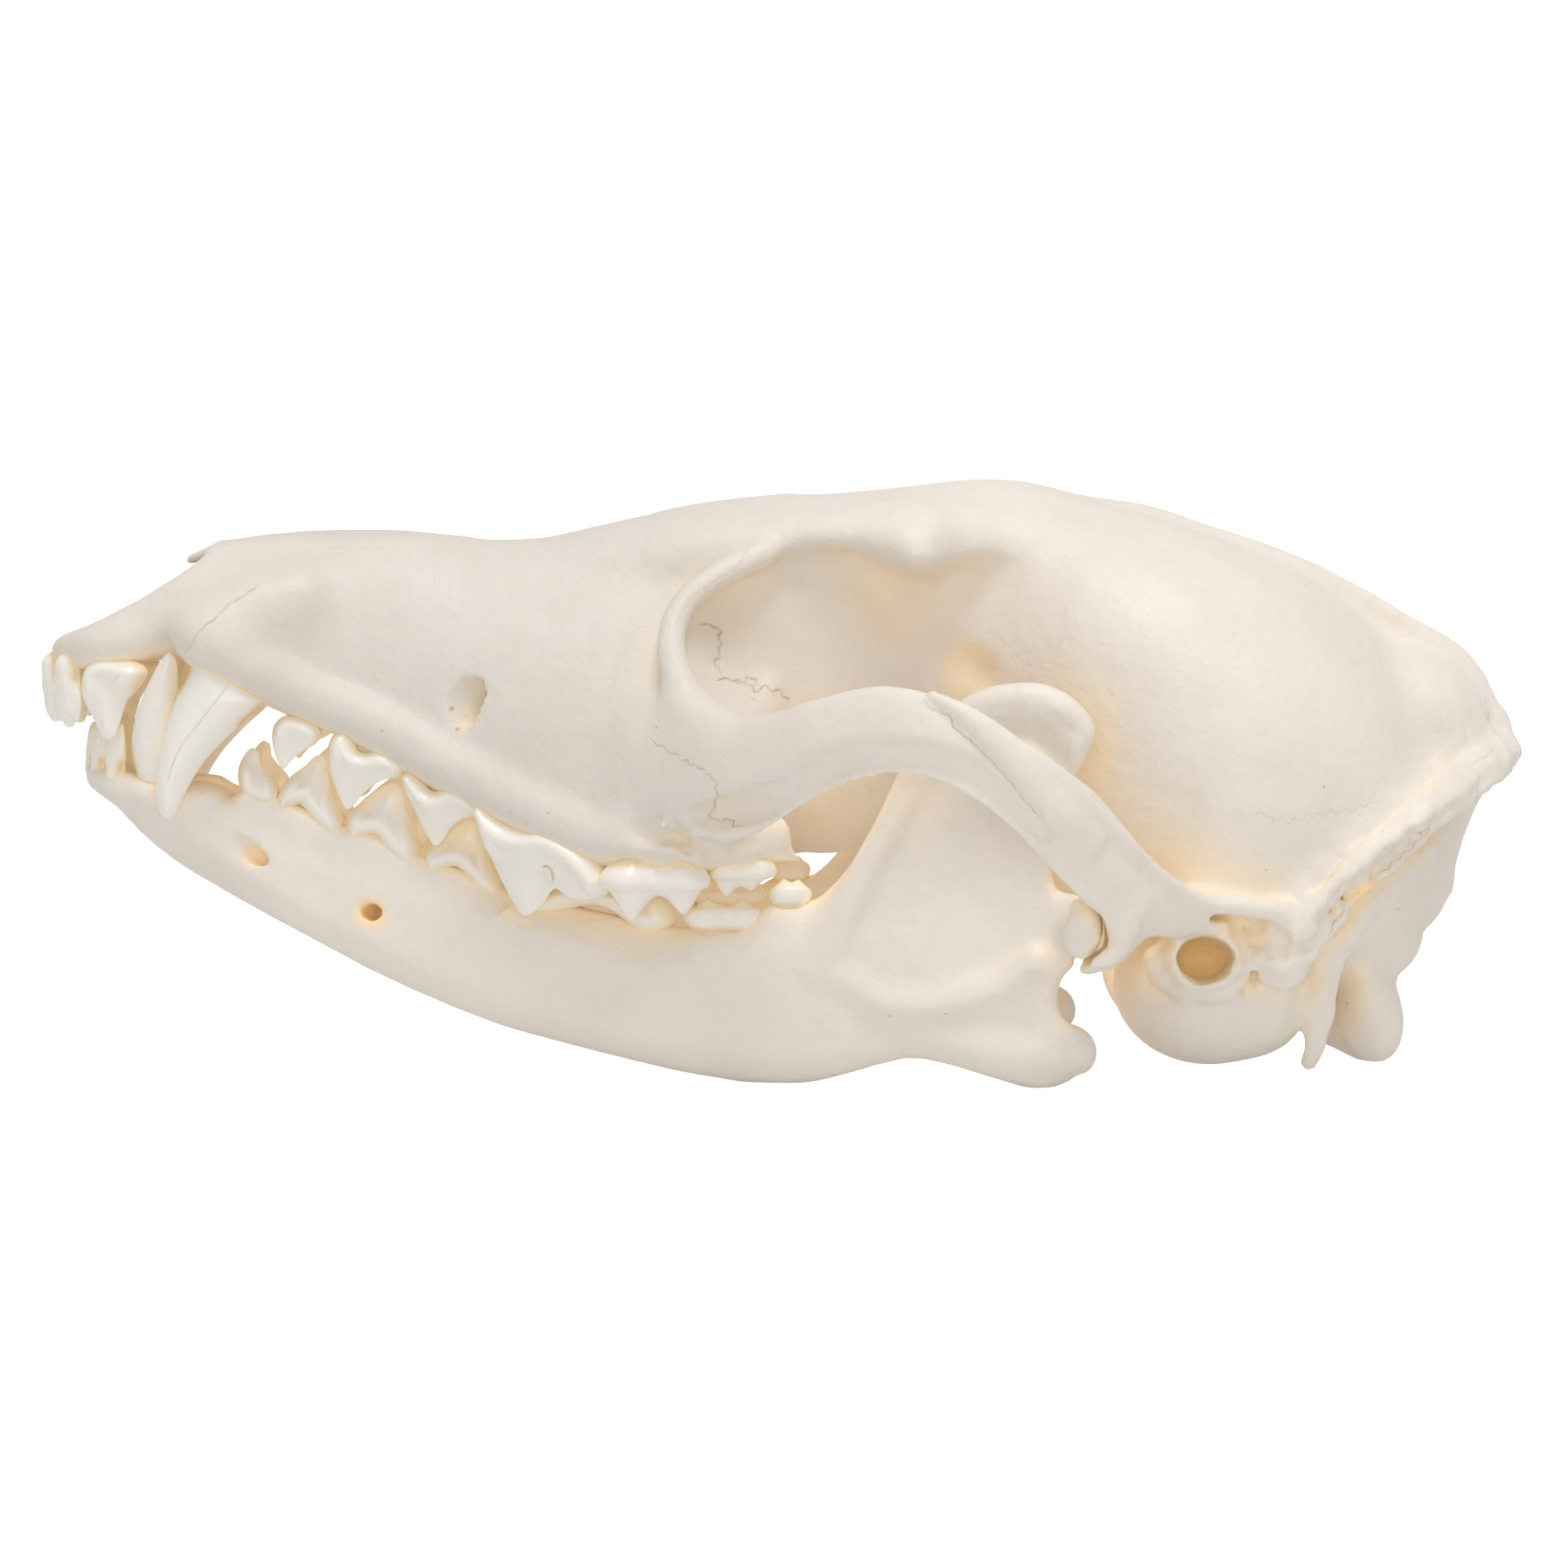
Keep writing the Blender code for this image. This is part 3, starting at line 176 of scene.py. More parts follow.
NASAL_HOLE = [
    (-84.0, 70.0, 46.2, 52.0, 3.6, 2.2, 2.4),
    (-76.0, 70.0, 46.6, 52.0, 4.8, 2.2, 2.4),
    (-72.0, 66.0, 47.0, 51.8, 5.8, 2.2, 2.4),
    (-66.0, 60.0, 47.4, 51.4, 6.8, 2.2, 2.4),
    (-61.0, 55.6, 47.2, 51.0, 7.6, 2.2, 2.2),
    (-52.0, 55.2, 45.4, 50.0, 7.8, 2.2, 2.2),
    (-44.0, 54.0, 44.0, 49.0, 6.6, 2.0, 2.0),
    (-38.0, 51.0, 45.6, 48.5, 3.6, 2.0, 2.0),
]
NASALS = [
    (-64.2, 55.3, 54.4, 54.9, 2.6, 2.0, 2.0),
    (-62.0, 56.3, 54.8, 55.6, 4.4, 2.2, 2.0),
    (-57.5, 57.3, 55.0, 56.0, 5.8, 2.2, 2.0),
    (-50.0, 57.9, 55.0, 56.4, 6.2, 2.2, 2.0),
    (-42.0, 57.9, 54.6, 56.0, 5.6, 2.2, 2.0),
    (-34.0, 57.1, 54.0, 55.4, 4.0, 2.2, 2.0),
]
PALATE = [
    (-73.0, 44.2, 38.0, 43.0, 3.6, 2.6, 2.0),
    (-66.0, 45.2, 38.0, 43.2, 5.6, 2.6, 2.0),
    (-58.0, 44.0, 34.0, 41.2, 7.2, 2.6, 2.0),
    (-50.0, 41.4, 32.0, 38.6, 8.2, 2.6, 2.0),
    (-42.0, 38.2, 28.0, 35.4, 9.0, 2.6, 2.0),
    (-34.0, 34.6, 24.0, 31.4, 11.0, 2.6, 2.0),
    (-26.0, 31.2, 19.0, 27.6, 14.6, 2.6, 2.0),
    (-21.0, 29.6, 17.0, 26.4, 16.8, 3.0, 2.0),
    (-17.5, 28.4, 16.0, 25.8, 16.2, 3.0, 2.0),
    (-13.5, 27.6, 16.0, 25.2, 14.4, 2.6, 2.0),
    (-8.0, 27.3, 17.0, 25.0, 14.2, 2.6, 2.0),
    (-4.0, 27.2, 18.0, 25.0, 13.4, 2.6, 2.0),
    (-1.2, 27.0, 18.0, 25.0, 11.6, 2.6, 2.0),
]
CHOANA = [
    (-5.0, 30.5, 26.0, 28.5, 3.4, 2.2, 2.2),
    (0.0, 33.0, 20.0, 27.0, 5.8, 2.4, 2.4),
    (8.0, 33.0, 8.0, 22.0, 6.8, 2.6, 2.4),
    (16.0, 29.0, 5.0, 17.0, 7.2, 2.6, 2.4),
    (24.0, 21.0, 2.0, 11.0, 7.8, 2.4, 2.2),
    (32.0, 13.0, 0.0, 6.0, 8.2, 2.2, 2.2),
]

# Paths: x, y, z, half thickness across, half height of the section; and which way is up on the bars
# of the ridge at the back of the skull
NUCHAL_UP = (0.6, 0.5, -0.6)
ARCH_BEVEL = [
    (-8.8, 30.3, 28.6, 1.8, 1.5),
    (-6.4, 32.3, 29.1, 2.5, 2),
    (-3.3, 35.1, 29.9, 2.9, 2.4),
    (0.5, 38.4, 31.3, 3, 2.6),
    (5.2, 41.7, 34.2, 3, 2.6),
    (10, 44.1, 35.1, 3, 2.6),
    (14.1, 45.5, 35, 3, 2.5),
    (18.1, 46.3, 34.1, 2.9, 2.3),
    (21.6, 46.3, 32, 2.7, 2.1),
    (24.2, 45.9, 29.9, 2.4, 1.8),
    (26.8, 44.9, 27.4, 1.7, 1.4),
]
ARCH_CREST = [
    (25.0, 45.0, 36.4, 0.5, 0.6),
    (28.2, 44.2, 33.9, 0.6, 0.8),
    (33.9, 40.0, 28.1, 0.7, 0.9),
    (39.2, 33.8, 22.9, 0.8, 0.8),
    (43.7, 29.3, 19.9, 0.8, 0.7),
    (47.7, 27.4, 19.2, 0.8, 0.6),
    (51.1, 26.6, 18.8, 0.6, 0.6),
]
CHEEK_HOLLOW = [
    (-15.0, 26.0, 26.8, 0.7, 0.7),
    (-11.6, 26.9, 26.2, 1.5, 1.2),
    (-8.0, 27.0, 25.4, 1.8, 1.4),
    (-5.0, 26.0, 25.2, 1.7, 1.2),
    (-3.0, 24.4, 25.6, 1.0, 0.8),
]
ARCH_STEP = [
    (15.4, 43.6, 42.0, 0.6, 0.5),
    (18.8, 44.8, 40.0, 0.9, 1.0),
    (22.2, 45.2, 37.2, 1.0, 1.6),
    (25.6, 44.9, 33.8, 1.1, 1.9),
    (28.8, 43.6, 30.2, 1.2, 2.1),
    (31.8, 41.2, 26.8, 1.2, 2.0),
]
ARCH_SPLIT = [
    (14.4, 44.2, 41.1, 0.5, 0.25),
    (17.0, 45.2, 39.8, 0.7, 0.3),
    (19.8, 45.6, 37.0, 0.7, 0.35),
    (22.8, 45.5, 33.7, 0.7, 0.35),
    (25.6, 44.9, 30.4, 0.7, 0.3),
    (27.8, 44.0, 27.2, 0.5, 0.25),
]
TUBEROSITY = [
    (-4.0, 20.0, 26.0, 2.4, 1.6),
    (-1.4, 20.4, 25.2, 1.8, 1.3),
    (0.6, 20.4, 24.2, 0.9, 0.7),
    (1.8, 20.2, 23.7, 0.4, 0.3),
]
CANINE_BULGE = [
    (-60.4, 11.4, 47.0, 2.6, 2.6),
    (-56.4, 11.0, 49.4, 2.3, 2.6),
    (-51.6, 9.8, 51.0, 1.8, 2.2),
]
INFRAORBITAL_CANAL = [
    (-40.6, 18.4, 40.3, 1.6, 2.2),
    (-37.0, 16.7, 40.2, 1.6, 2.8),
    (-33.6, 15.3, 40.1, 1.3, 2.9),
    (-30.2, 14.4, 39.6, 1.0, 2.2),
]
ORBIT_RIM = [
    (-6.0, 27.4, 36.6, 2.4, 2.2),
    (-9.8, 24.8, 40.8, 1.9, 1.8),
    (-11.6, 21.4, 46.0, 1.5, 1.5),
    (-10.4, 18.4, 50.4, 1.4, 1.4),
    (-6.6, 16.0, 53.6, 1.5, 1.4),
    (-2.0, 14.4, 55.8, 1.5, 1.4),
]
ARCH = [
    (-14.0, 21.5, 33.5, 3.6, 7.0),
    (-9.0, 26.2, 32.8, 3.4, 7.2),
    (-4.4, 30.6, 33.0, 2.7, 6.4),
    (0.2, 34.8, 34.8, 2.2, 5.2),
    (4.6, 38.0, 36.8, 2.0, 4.7),
    (8.8, 40.4, 38.0, 1.9, 4.6),
    (13.0, 42.2, 38.2, 1.8, 4.4),
    (17.4, 43.2, 36.8, 1.8, 3.9),
    (22.0, 43.4, 34.4, 1.8, 3.8),
    (26.4, 42.6, 31.2, 1.9, 4.1),
    (30.2, 40.4, 27.6, 2.2, 4.7),
    (33.6, 36.8, 23.8, 2.6, 4.7),
    (36.8, 32.4, 20.8, 3.0, 3.8),
    (40.4, 27.4, 18.8, 3.2, 2.8),
    (44.5, 23.0, 17.8, 3.2, 2.2),
]
EAR_SHELF = [
    (34.6, 32.6, 21.8, 1.8, 1.2),
    (38.8, 29.4, 20.4, 1.9, 1.1),
    (43.0, 27.0, 19.6, 1.9, 1.0),
    (48.0, 25.6, 19.3, 1.7, 1.0),
    (52.0, 25.0, 18.4, 1.5, 1.2),
    (54.2, 24.6, 17.4, 1.3, 1.5),
]
EAR_GROOVE = [
    (41.0, 27.2, 18.2, 1.0, 0.5),
    (44.0, 25.8, 18.6, 1.6, 0.8),
    (47.4, 24.9, 18.3, 1.6, 0.8),
    (50.4, 24.4, 17.2, 1.0, 0.5),
]
ORBIT_GROOVE = [
    (8.0, 13.4, 54.6, 1.6, 1.6),
    (12.0, 12.7, 50.0, 1.8, 2.0),
    (15.4, 12.6, 46.2, 1.8, 2.0),
    (20.6, 13.8, 43.2, 1.6, 1.4),
]
NUCHAL = [
    (53.6, 24.0, 17.6, 1.2, 2.0),
    (57.8, 23.4, 21.6, 1.2, 2.4),
    (62.9, 20.6, 25.8, 1.2, 2.8),
    (68.2, 16.0, 29.2, 1.2, 3.0),
    (72.6, 10.4, 31.8, 1.3, 3.2),
    (75.6, 4.8, 34.2, 1.4, 3.4),
    (76.7, 0.0, 35.0, 1.5, 3.6),
]
NUCHAL_EDGE = [
    (53.4, 25.2, 16.4, 0.6, 0.8),
    (55.2, 25.8, 18.4, 0.6, 0.9),
    (58.4, 25.4, 22.0, 0.6, 1.0),
    (62.4, 23.7, 25.2, 0.6, 1.1),
    (65.8, 21.0, 27.6, 0.6, 1.2),
    (69.2, 17.2, 30.0, 0.7, 1.4),
    (72.4, 12.6, 32.1, 0.8, 1.6),
    (75.4, 7.4, 33.9, 0.9, 1.8),
    (77.6, 3.0, 34.9, 1.0, 2.2),
    (78.2, 0.0, 35.3, 1.1, 2.6),
]
NUCHAL_LIP = [
    (54.8, 24.0, 13.6, 0.5, 0.7),
    (57.2, 23.6, 16.4, 0.6, 0.8),
    (59.6, 22.6, 18.8, 0.6, 0.8),
    (63.4, 20.4, 22.4, 0.6, 0.8),
    (66.8, 17.6, 25.0, 0.6, 0.8),
    (70.0, 13.8, 27.8, 0.7, 0.8),
    (72.8, 9.6, 29.5, 0.8, 0.9),
    (75.6, 4.8, 31.0, 0.8, 1.0),
]
NUCHAL_FURROW = [
    (56.0, 25.0, 16.6, 0.4, 0.5),
    (59.4, 24.2, 20.2, 0.5, 0.6),
    (63.4, 22.2, 23.6, 0.5, 0.6),
    (67.2, 19.2, 26.4, 0.5, 0.6),
    (70.8, 15.0, 29.0, 0.5, 0.6),
    (74.4, 9.0, 31.4, 0.4, 0.5),
]
NUCHAL_GROOVE = [
    (57.6, 22.2, 13.6, 1.2, 2.0),
    (61.4, 20.8, 17.4, 1.4, 2.0),
    (66.2, 17.8, 21.4, 1.5, 2.0),
    (70.6, 12.8, 25.0, 1.5, 1.9),
    (74.2, 6.4, 28.0, 1.4, 1.6),
]
PAROCCIPITAL = [
    (58.6, 16.0, 18.0, 2.2, 2.6),
    (57.6, 17.4, 12.0, 1.3, 1.9),
    (57.0, 17.8, 7.0, 1.1, 1.5),
    (56.5, 17.6, 3.6, 0.9, 1.1),
    (55.9, 17.0, 1.9, 0.8, 0.8),
]
PAROCCIPITAL_WING = [
    (55.6, 16.8, 12.6, 0.8, 1.4),
    (55.6, 17.0, 9.0, 0.7, 1.0),
    (56.2, 17.2, 5.6, 0.6, 0.8),
]
POSTGLENOID = [
    (35.8, 20.0, 17.4, 2.0, 2.2),
    (35.4, 26.0, 16.9, 2.2, 2.5),
    (35.2, 31.0, 17.0, 2.2, 2.6),
    (35.0, 35.4, 18.2, 1.9, 2.6),
]
GLENOID_LIP = [
    (33.8, 24.0, 13.9, 2.3, 0.8),
    (33.4, 29.0, 13.6, 2.5, 0.8),
    (33.2, 33.0, 13.7, 2.4, 0.8),
    (33.6, 36.0, 14.6, 2.0, 0.9),
]
UPPER_SOCKETS = [
    (-77.0, 1.5, 45.3, 1.8, 1.6),
    (-75.6, 4.6, 45.6, 2.0, 1.8),
    (-71.5, 7.9, 46.2, 2.3, 2.2),
    (-66.4, 7.8, 47.6, 1.9, 2.0),
    (-61.0, 11.6, 46.6, 3.2, 2.8),
    (-56.4, 12.0, 43.6, 3.2, 2.9),
    (-51.6, 11.6, 41.0, 2.5, 2.6),
    (-44.0, 12.4, 37.8, 2.4, 2.7),
    (-36.0, 14.2, 33.6, 2.7, 2.9),
    (-28.0, 17.8, 29.8, 3.0, 3.0),
    (-20.0, 21.0, 26.4, 3.4, 3.2),
    (-13.0, 21.6, 25.6, 4.6, 3.2),
    (-5.0, 20.8, 25.4, 3.8, 2.8),
    (-1.6, 20.4, 26.0, 2.6, 2.6),
]
CONDYLE = [
    (30.6, 19.4, 16.2, 2.0, 2.2),
    (30.8, 24.0, 17.0, 2.4, 2.6),
    (30.9, 30.0, 17.4, 2.6, 2.9),
    (31.1, 34.9, 17.5, 2.0, 3.2),
]
ANGLE = [
    (31.0, 26.4, 4.0, 1.7, 2.3),
    (27.0, 25.6, 2.8, 1.9, 2.3),
    (22.0, 24.4, 3.6, 1.7, 2.0),
    (15.0, 22.6, 5.4, 1.4, 1.8),
]
LOWER_SOCKETS = [
    (-73.6, 1.6, 31.4, 1.5, 1.4),
    (-72.4, 4.2, 31.2, 1.6, 1.5),
    (-69.8, 6.6, 30.4, 2.0, 1.7),
    (-66.4, 7.9, 29.6, 2.7, 1.9),
    (-62.0, 8.0, 29.2, 2.4, 1.9),
]

OCCIPITAL_RIDGE = [
    (66.0, 0.0, 17.0, 2.0, 2.0),
    (71.5, 0.0, 25.0, 1.4, 1.8),
    (74.4, 0.0, 32.0, 1.2, 2.4),
]
EAR_TUBE = [
    (44.6, 15.0, 13.2, 5.4, 4.6),
    (44.6, 19.0, 13.4, 5.2, 4.3),
    (44.6, 21.6, 13.6, 4.9, 4.1),
]
EAR_CANAL = [
    (44.4, 18.9, 13.0, 2.6, 2.1),
    (44.4, 20.2, 13.2, 2.9, 2.4),
    (44.4, 22.0, 13.3, 3.0, 2.5),
    (44.4, 27.0, 13.4, 3.2, 2.7),
]
OCCIPUT_FOLD = [
    (60.0, 19.0, 15.4, 0.9, 0.9),
    (61.6, 19.0, 18.2, 1.0, 1.0),
    (64.6, 16.8, 20.8, 1.0, 1.0),
    (67.2, 14.4, 22.8, 0.9, 0.9),
    (69.4, 11.4, 25.0, 0.8, 0.8),
]
AMBER_SLIT = [
    (59.6, 22.6, 18.2, 1.6, 0.3),
    (61.4, 21.9, 19.8, 1.8, 0.4),
    (63.4, 20.8, 21.6, 1.6, 0.3),
]
SPINE_SILL = [
    (62.6, 9.6, 5.4, 2.6, 3.2),
    (62.2, 6.6, 4.6, 2.2, 3.2),
    (60.8, 3.2, 4.8, 1.8, 3.0),
    (59.6, 0.0, 5.2, 1.7, 3.0),
]
SPINE_HOLE = [
    (52.0, 0.0, 14.0, 4.6, 4.2),
    (62.0, 0.0, 12.0, 6.2, 5.0),
    (76.0, 0.0, 9.0, 7.6, 6.4),
]

FOSSA_RIDGE = [
    (15.6, 24.6, 35.8, 0.7, 0.9),
    (13.4, 25.0, 31.6, 0.9, 1.2),
    (11.2, 25.0, 27.6, 1.0, 1.3),
    (9.0, 24.6, 23.8, 1.0, 1.3),
    (7.0, 24.0, 19.8, 0.9, 1.3),
    (5.4, 23.2, 15.8, 0.8, 1.2),
    (3.4, 22.4, 12.0, 0.6, 1.0),
]
FOSSA_FLOOR = [
    (6.4, 22.6, 11.4, 0.8, 0.8),
    (11.0, 23.6, 8.8, 1.0, 1.0),
    (16.6, 24.6, 8.6, 1.0, 1.0),
    (22.0, 25.4, 10.4, 1.0, 1.0),
    (26.4, 26.4, 13.4, 1.1, 1.2),
]
CORONOID_RIM = [
    (18.6, 24.8, 38.6, 1.2, 1.1),
    (22.0, 25.3, 40.5, 1.8, 1.4),
    (26.4, 25.9, 40.8, 2.1, 1.5),
    (30.0, 26.4, 39.3, 2.0, 1.5),
    (31.2, 26.6, 36.6, 1.4, 1.2),
]
CORONOID_HOLLOW = [
    (19.4, 26.6, 36.2, 0.6, 0.7),
    (22.6, 27.3, 37.4, 1.1, 1.1),
    (26.0, 27.8, 37.4, 1.3, 1.3),
    (28.6, 28.0, 35.2, 1.2, 1.3),
    (29.4, 28.0, 32.0, 0.8, 1.0),
]
MENTAL_SLIT = [
    (-60.0, 10.4, 26.2, 0.5, 0.5),
    (-58.2, 10.2, 24.9, 0.8, 0.9),
    (-56.2, 9.7, 23.4, 1.1, 0.9),
    (-54.8, 9.0, 22.4, 0.8, 0.5),
]
MENTAL_HOLE = [
    (-44.6, 13.4, 17.8, 0.9, 0.7),
    (-43.7, 11.4, 17.5, 1.1, 0.9),
    (-42.4, 9.4, 17.2, 1.0, 0.8),
]

# Middle of the beaded ring and of the lip round the ear's opening
BEADS_CENTRE = (44.4, 21.2, 13.3)
LIP_CENTRE = (44.7, 22.0, 13.2)

# Eggs: centre, half sizes, pitch in degrees
ORBIT = ((5.5, 28.4, 50.5), (18.9, 19.6, 13.4), -12)
OCCIPUT = ((55.8, 0.0, 24.0), (15.0, 20.5, 16.0), 12)
CREST_ROOT = ((67.6, 0.0, 37.4), (9.0, 10.5, 8.0), 35)
BULLA_REAR = ((50.6, 14.0, 8.4), (5.4, 6.4, 5.7), 0)
BULLA = ((45.2, 13.4, 9.8), (9.9, 7.6, 8.4), 6)
MASTOID = ((52.6, 22.0, 14.0), (3.4, 3.0, 4.0), 0)
OCCIPITAL_CONDYLE = ((63.0, 9.4, 8.0), (3.1, 4.7, 6.6), -14)
CONDYLE_ROOT = ((63.4, 8.6, 14.8), (5.2, 5.0, 4.8), 0)
CANINE_NOTCH = ((-66.2, 11.0, 43.4), (2.8, 1.9, 3.6), 0)
JAW_HOLLOW = ((19.6, 31.0, 20.0), (10.5, 6.8, 12.0), 30)
JAW_LOWER_HOLLOW = ((22.0, 29.8, 13.0), (8.5, 4.4, 4.6), -12)

# Upper edge of the snout's side walls in front of the nasal bones: x, z; where it ends, and its slope
SNOUT_EDGE = [(-78.4, 44.6), (-76.7, 45.6), (-73.2, 48.2), (-68.0, 51.2), (-63.0, 54.6), (-60.0, 57.6)]
SNOUT_BACK = -60.0
SNOUT_LEAN = 0.85

# Closed lines seen from the side: x, z
CREST_LINE = [
    (30, 59), (36.6, 60.9), (47.1, 58.1), (57.6, 54.6), (68.2, 48.8), (73.5, 45.5), (75.9, 42.6),
    (78.0, 38.6), (79.1, 35.4), (78.0, 33.0), (75.4, 30.5), (70, 28), (60, 30), (45, 45),
]
CREST_HALF = 1.0
CREST_ROUNDING = 1.2
# Boxes round the crest on top and round the jaw joint: low corner, high corner
CREST_BOX = ((30, -1, 28), (80, 2, 62))
JOINT_BOX = ((26, 14, 10), (36, 40, 24))
JAW_LINE = [
    (-74.6, 32.6), (-71.0, 31.4), (-67.1, 30.8), (-61.9, 31.2), (-57.6, 29.4), (-53.7, 27.2),
    (-46.3, 24.6), (-38.1, 21.6), (-29, 19.3), (-22.6, 17.9), (-17.4, 15.9), (-11.4, 15.4),
    (-7.1, 16.0), (-1.1, 17.0), (3.2, 19.2), (6.6, 22.4), (9.5, 27.0), (12.5, 33.3), (16, 38.6),
    (20.9, 41.7), (26.9, 42.4), (30.3, 41.0), (32.8, 37.8), (31.6, 34.4), (29.6, 30), (28.6, 25),
    (28.8, 21.0), (31.4, 19.4), (32.4, 16.4), (31.4, 13.6), (29.4, 11.4), (29.2, 8.0), (30.6, 6.2),
    (32.2, 4.9), (31.8, 2.5), (29.2, 0.7), (26.5, 0.2), (22.6, 1.2), (15, 3.0), (7.5, 1.2),
    (3, 0.1), (-2.5, -0.1), (-10.6, 1.0), (-20.9, 3.2), (-31.5, 6.0), (-41.9, 10.2), (-52.3, 15.3),
    (-60.0, 19.4), (-65.8, 23.0), (-70.6, 27.2), (-74.0, 30.8),
]
# Stations along one half of the jaw: x, distance of its middle from the centre, half thickness, rounding
JAW_BODY = [
    (-75.0, 1.8, 3.6, 2.2),
    (-72.0, 3.0, 4.8, 3.0),
    (-66.0, 3.8, 5.8, 3.8),
    (-60.0, 4.4, 5.4, 4.0),
    (-54.0, 6.2, 4.4, 3.8),
    (-47.0, 8.2, 3.3, 3.8),
    (-38.0, 10.2, 3.1, 3.8),
    (-28.0, 12.8, 3.3, 3.8),
    (-16.0, 15.8, 3.6, 3.8),
    (-5.0, 18.4, 3.5, 3.6),
    (4.0, 20.4, 3.0, 3.0),
    (12.0, 22.2, 2.3, 2.4),
    (20.0, 23.8, 2.0, 2.0),
    (33.0, 26.0, 1.9, 1.8),
]
# The jaw's upright branch: x where it starts, length over which its lean outwards grows, that lean,
# and the height round which it turns
BRANCH_START, BRANCH_LENGTH, BRANCH_LEAN, BRANCH_MIDDLE = -10, 20, 0.05, 18

# Rougher bone: x, y, z, radius, strength
SKULL_RELIEF = [
    (54.0, 24.5, 15.0, 3.0, 0.6), (56.6, 24.6, 19.0, 3.4, 0.4), (61.0, 23.0, 23.0, 4.0, 0.36),
    (66.4, 19.0, 26.6, 4.5, 0.44), (71.5, 13.0, 30.0, 4.5, 0.5), (76.0, 5.0, 32.5, 5.0, 0.5),
    (52.0, 23.0, 13.4, 3.0, 0.7), (49.4, 21.5, 12.4, 2.2, 0.6), (39.0, 20.0, 12.4, 3.0, 0.5),
    (-9.0, 25.8, 26.0, 4.0, 0.6), (56.5, 17.5, 9.0, 4.0, 0.3), (36.0, 31.0, 21.0, 4.0, 0.2),
    (64.0, 14.0, 17.0, 5.0, 0.2), (-38.0, 14.6, 33.6, 4.0, 0.2), (78.0, 2.0, 38.0, 4.0, 0.3),
    (44.4, 22.0, 13.4, 6.0, 0.3), (-12.6, 25.2, 26.4, 3.2, 0.8), (-31.0, 17.0, 30.6, 3.0, 0.35),
]
JAW_RELIEF = [
    (29.0, 26.0, 3.0, 4.0, 0.3), (31.0, 35.0, 17.0, 4.0, 0.5), (-68.0, 7.6, 28.0, 5.0, 0.2),
    (29.0, 27.4, 40.0, 4.0, 0.3), (-50.0, 9.0, 27.0, 4.0, 0.2), (-36.0, 12.0, 21.0, 4.0, 0.2),
]

# Painted amber shade in deep holes and recesses, for their shade and the light through thin bone: x,
# distance from the middle, z, radius, strength
SKULL_AMBER_SHADE = [
    (44.6, 13.0, 13.2, 6.6, 0.95),
    (-34.4, 16.0, 39.6, 0.7, 0.6),
    (-34.2, 16.0, 37.4, 0.7, 0.7),
    (20.0, 12.0, 43.3, 3.6, 0.4),
    (12.0, 12.0, 50.0, 5.0, 0.22),
    (61.8, 16.0, 19.6, 1.6, 0.8),
    (46.0, 24.0, 17.6, 1.8, 0.4),
    (61.6, 21.8, 19.8, 1.9, 0.9),
]
JAW_AMBER_SHADE = [
    (-43.6, 10.8, 17.4, 2.0, 0.9),
    (-56.4, 9.0, 23.4, 1.6, 0.4),
    (13.0, 26.0, 32.0, 6.0, 0.14),
]

# Seams: half width, zigzag, depth of colour, and the line's pixels in the photograph
SEAMS = [
    (0.1, 0.1, 0.8, [(226, 809), (235, 795), (245, 778), (265, 762), (282, 745), (300, 734), (320, 720)]),
    (0.08, 0.12, 0.3, [(323, 720), (348, 706), (382, 689), (436, 677), (498, 672)]),
    (0.08, 0.18, 0.5, [(931, 664), (920, 678), (912, 691), (900, 702), (870, 720), (855, 732), (840, 752),
     (830, 775)]),
    (0.08, 0.12, 0.6, [(906, 710), (892, 732), (875, 748), (865, 756), (881, 754)]),
    (0.14, 0.35, 1.0, [(860, 772), (881, 772), (888, 790), (885, 805), (882, 820), (890, 829)]),
    (0.14, 0.45, 1.0, [(884, 842), (900, 837), (912, 838), (928, 834), (934, 845)]),
    (0.14, 0.45, 1.0, [(908, 845), (922, 842), (930, 850), (945, 848), (965, 855), (972, 864)]),
    (0.07, 0.12, 0.25, [(801, 768), (790, 772), (775, 788), (762, 820), (756, 850), (758, 880)]),
    (0.12, 0.3, 0.9, [(795, 910), (810, 916), (835, 932), (865, 948), (881, 960), (882, 985), (878, 1008),
     (890, 1012), (900, 1010), (908, 1019), (915, 1018)]),
    (0.1, 0.12, 0.75, [(1135, 860), (1150, 875), (1170, 882), (1175, 895), (1195, 912), (1225, 942),
     (1250, 970), (1270, 995), (1288, 1012)]),
    (0.07, 0.25, 0.25, [(1328, 720), (1315, 745), (1310, 775), (1305, 800), (1300, 815), (1310, 830)]),
    (0.08, 0.45, 0.4, [(1525, 1008), (1550, 1002), (1580, 1012), (1615, 1004), (1655, 998), (1705, 986)]),
    (0.1, 0.2, 0.9, [(1618, 1188), (1600, 1200), (1596, 1215), (1601, 1235), (1599, 1255), (1604, 1280)]),
    (0.12, 0.2, 0.8, [(1655, 1120), (1640, 1145), (1635, 1165), (1621, 1189)]),
    (0.1, 0.35, 0.6, [(1698, 1082), (1720, 1060), (1740, 1045), (1755, 1025), (1770, 1000)]),
    (0.08, 0.2, 0.4, [(1815, 942), (1830, 931), (1842, 919)]),
]
# Distance between a seam's points and range of that between its turns, in pixels, and the longest
# step that its path may take over the bone, in millimetres
SEAM_STEP = 2.5
SEAM_TURNS = (3, 12)
SEAM_JUMP = 2.5
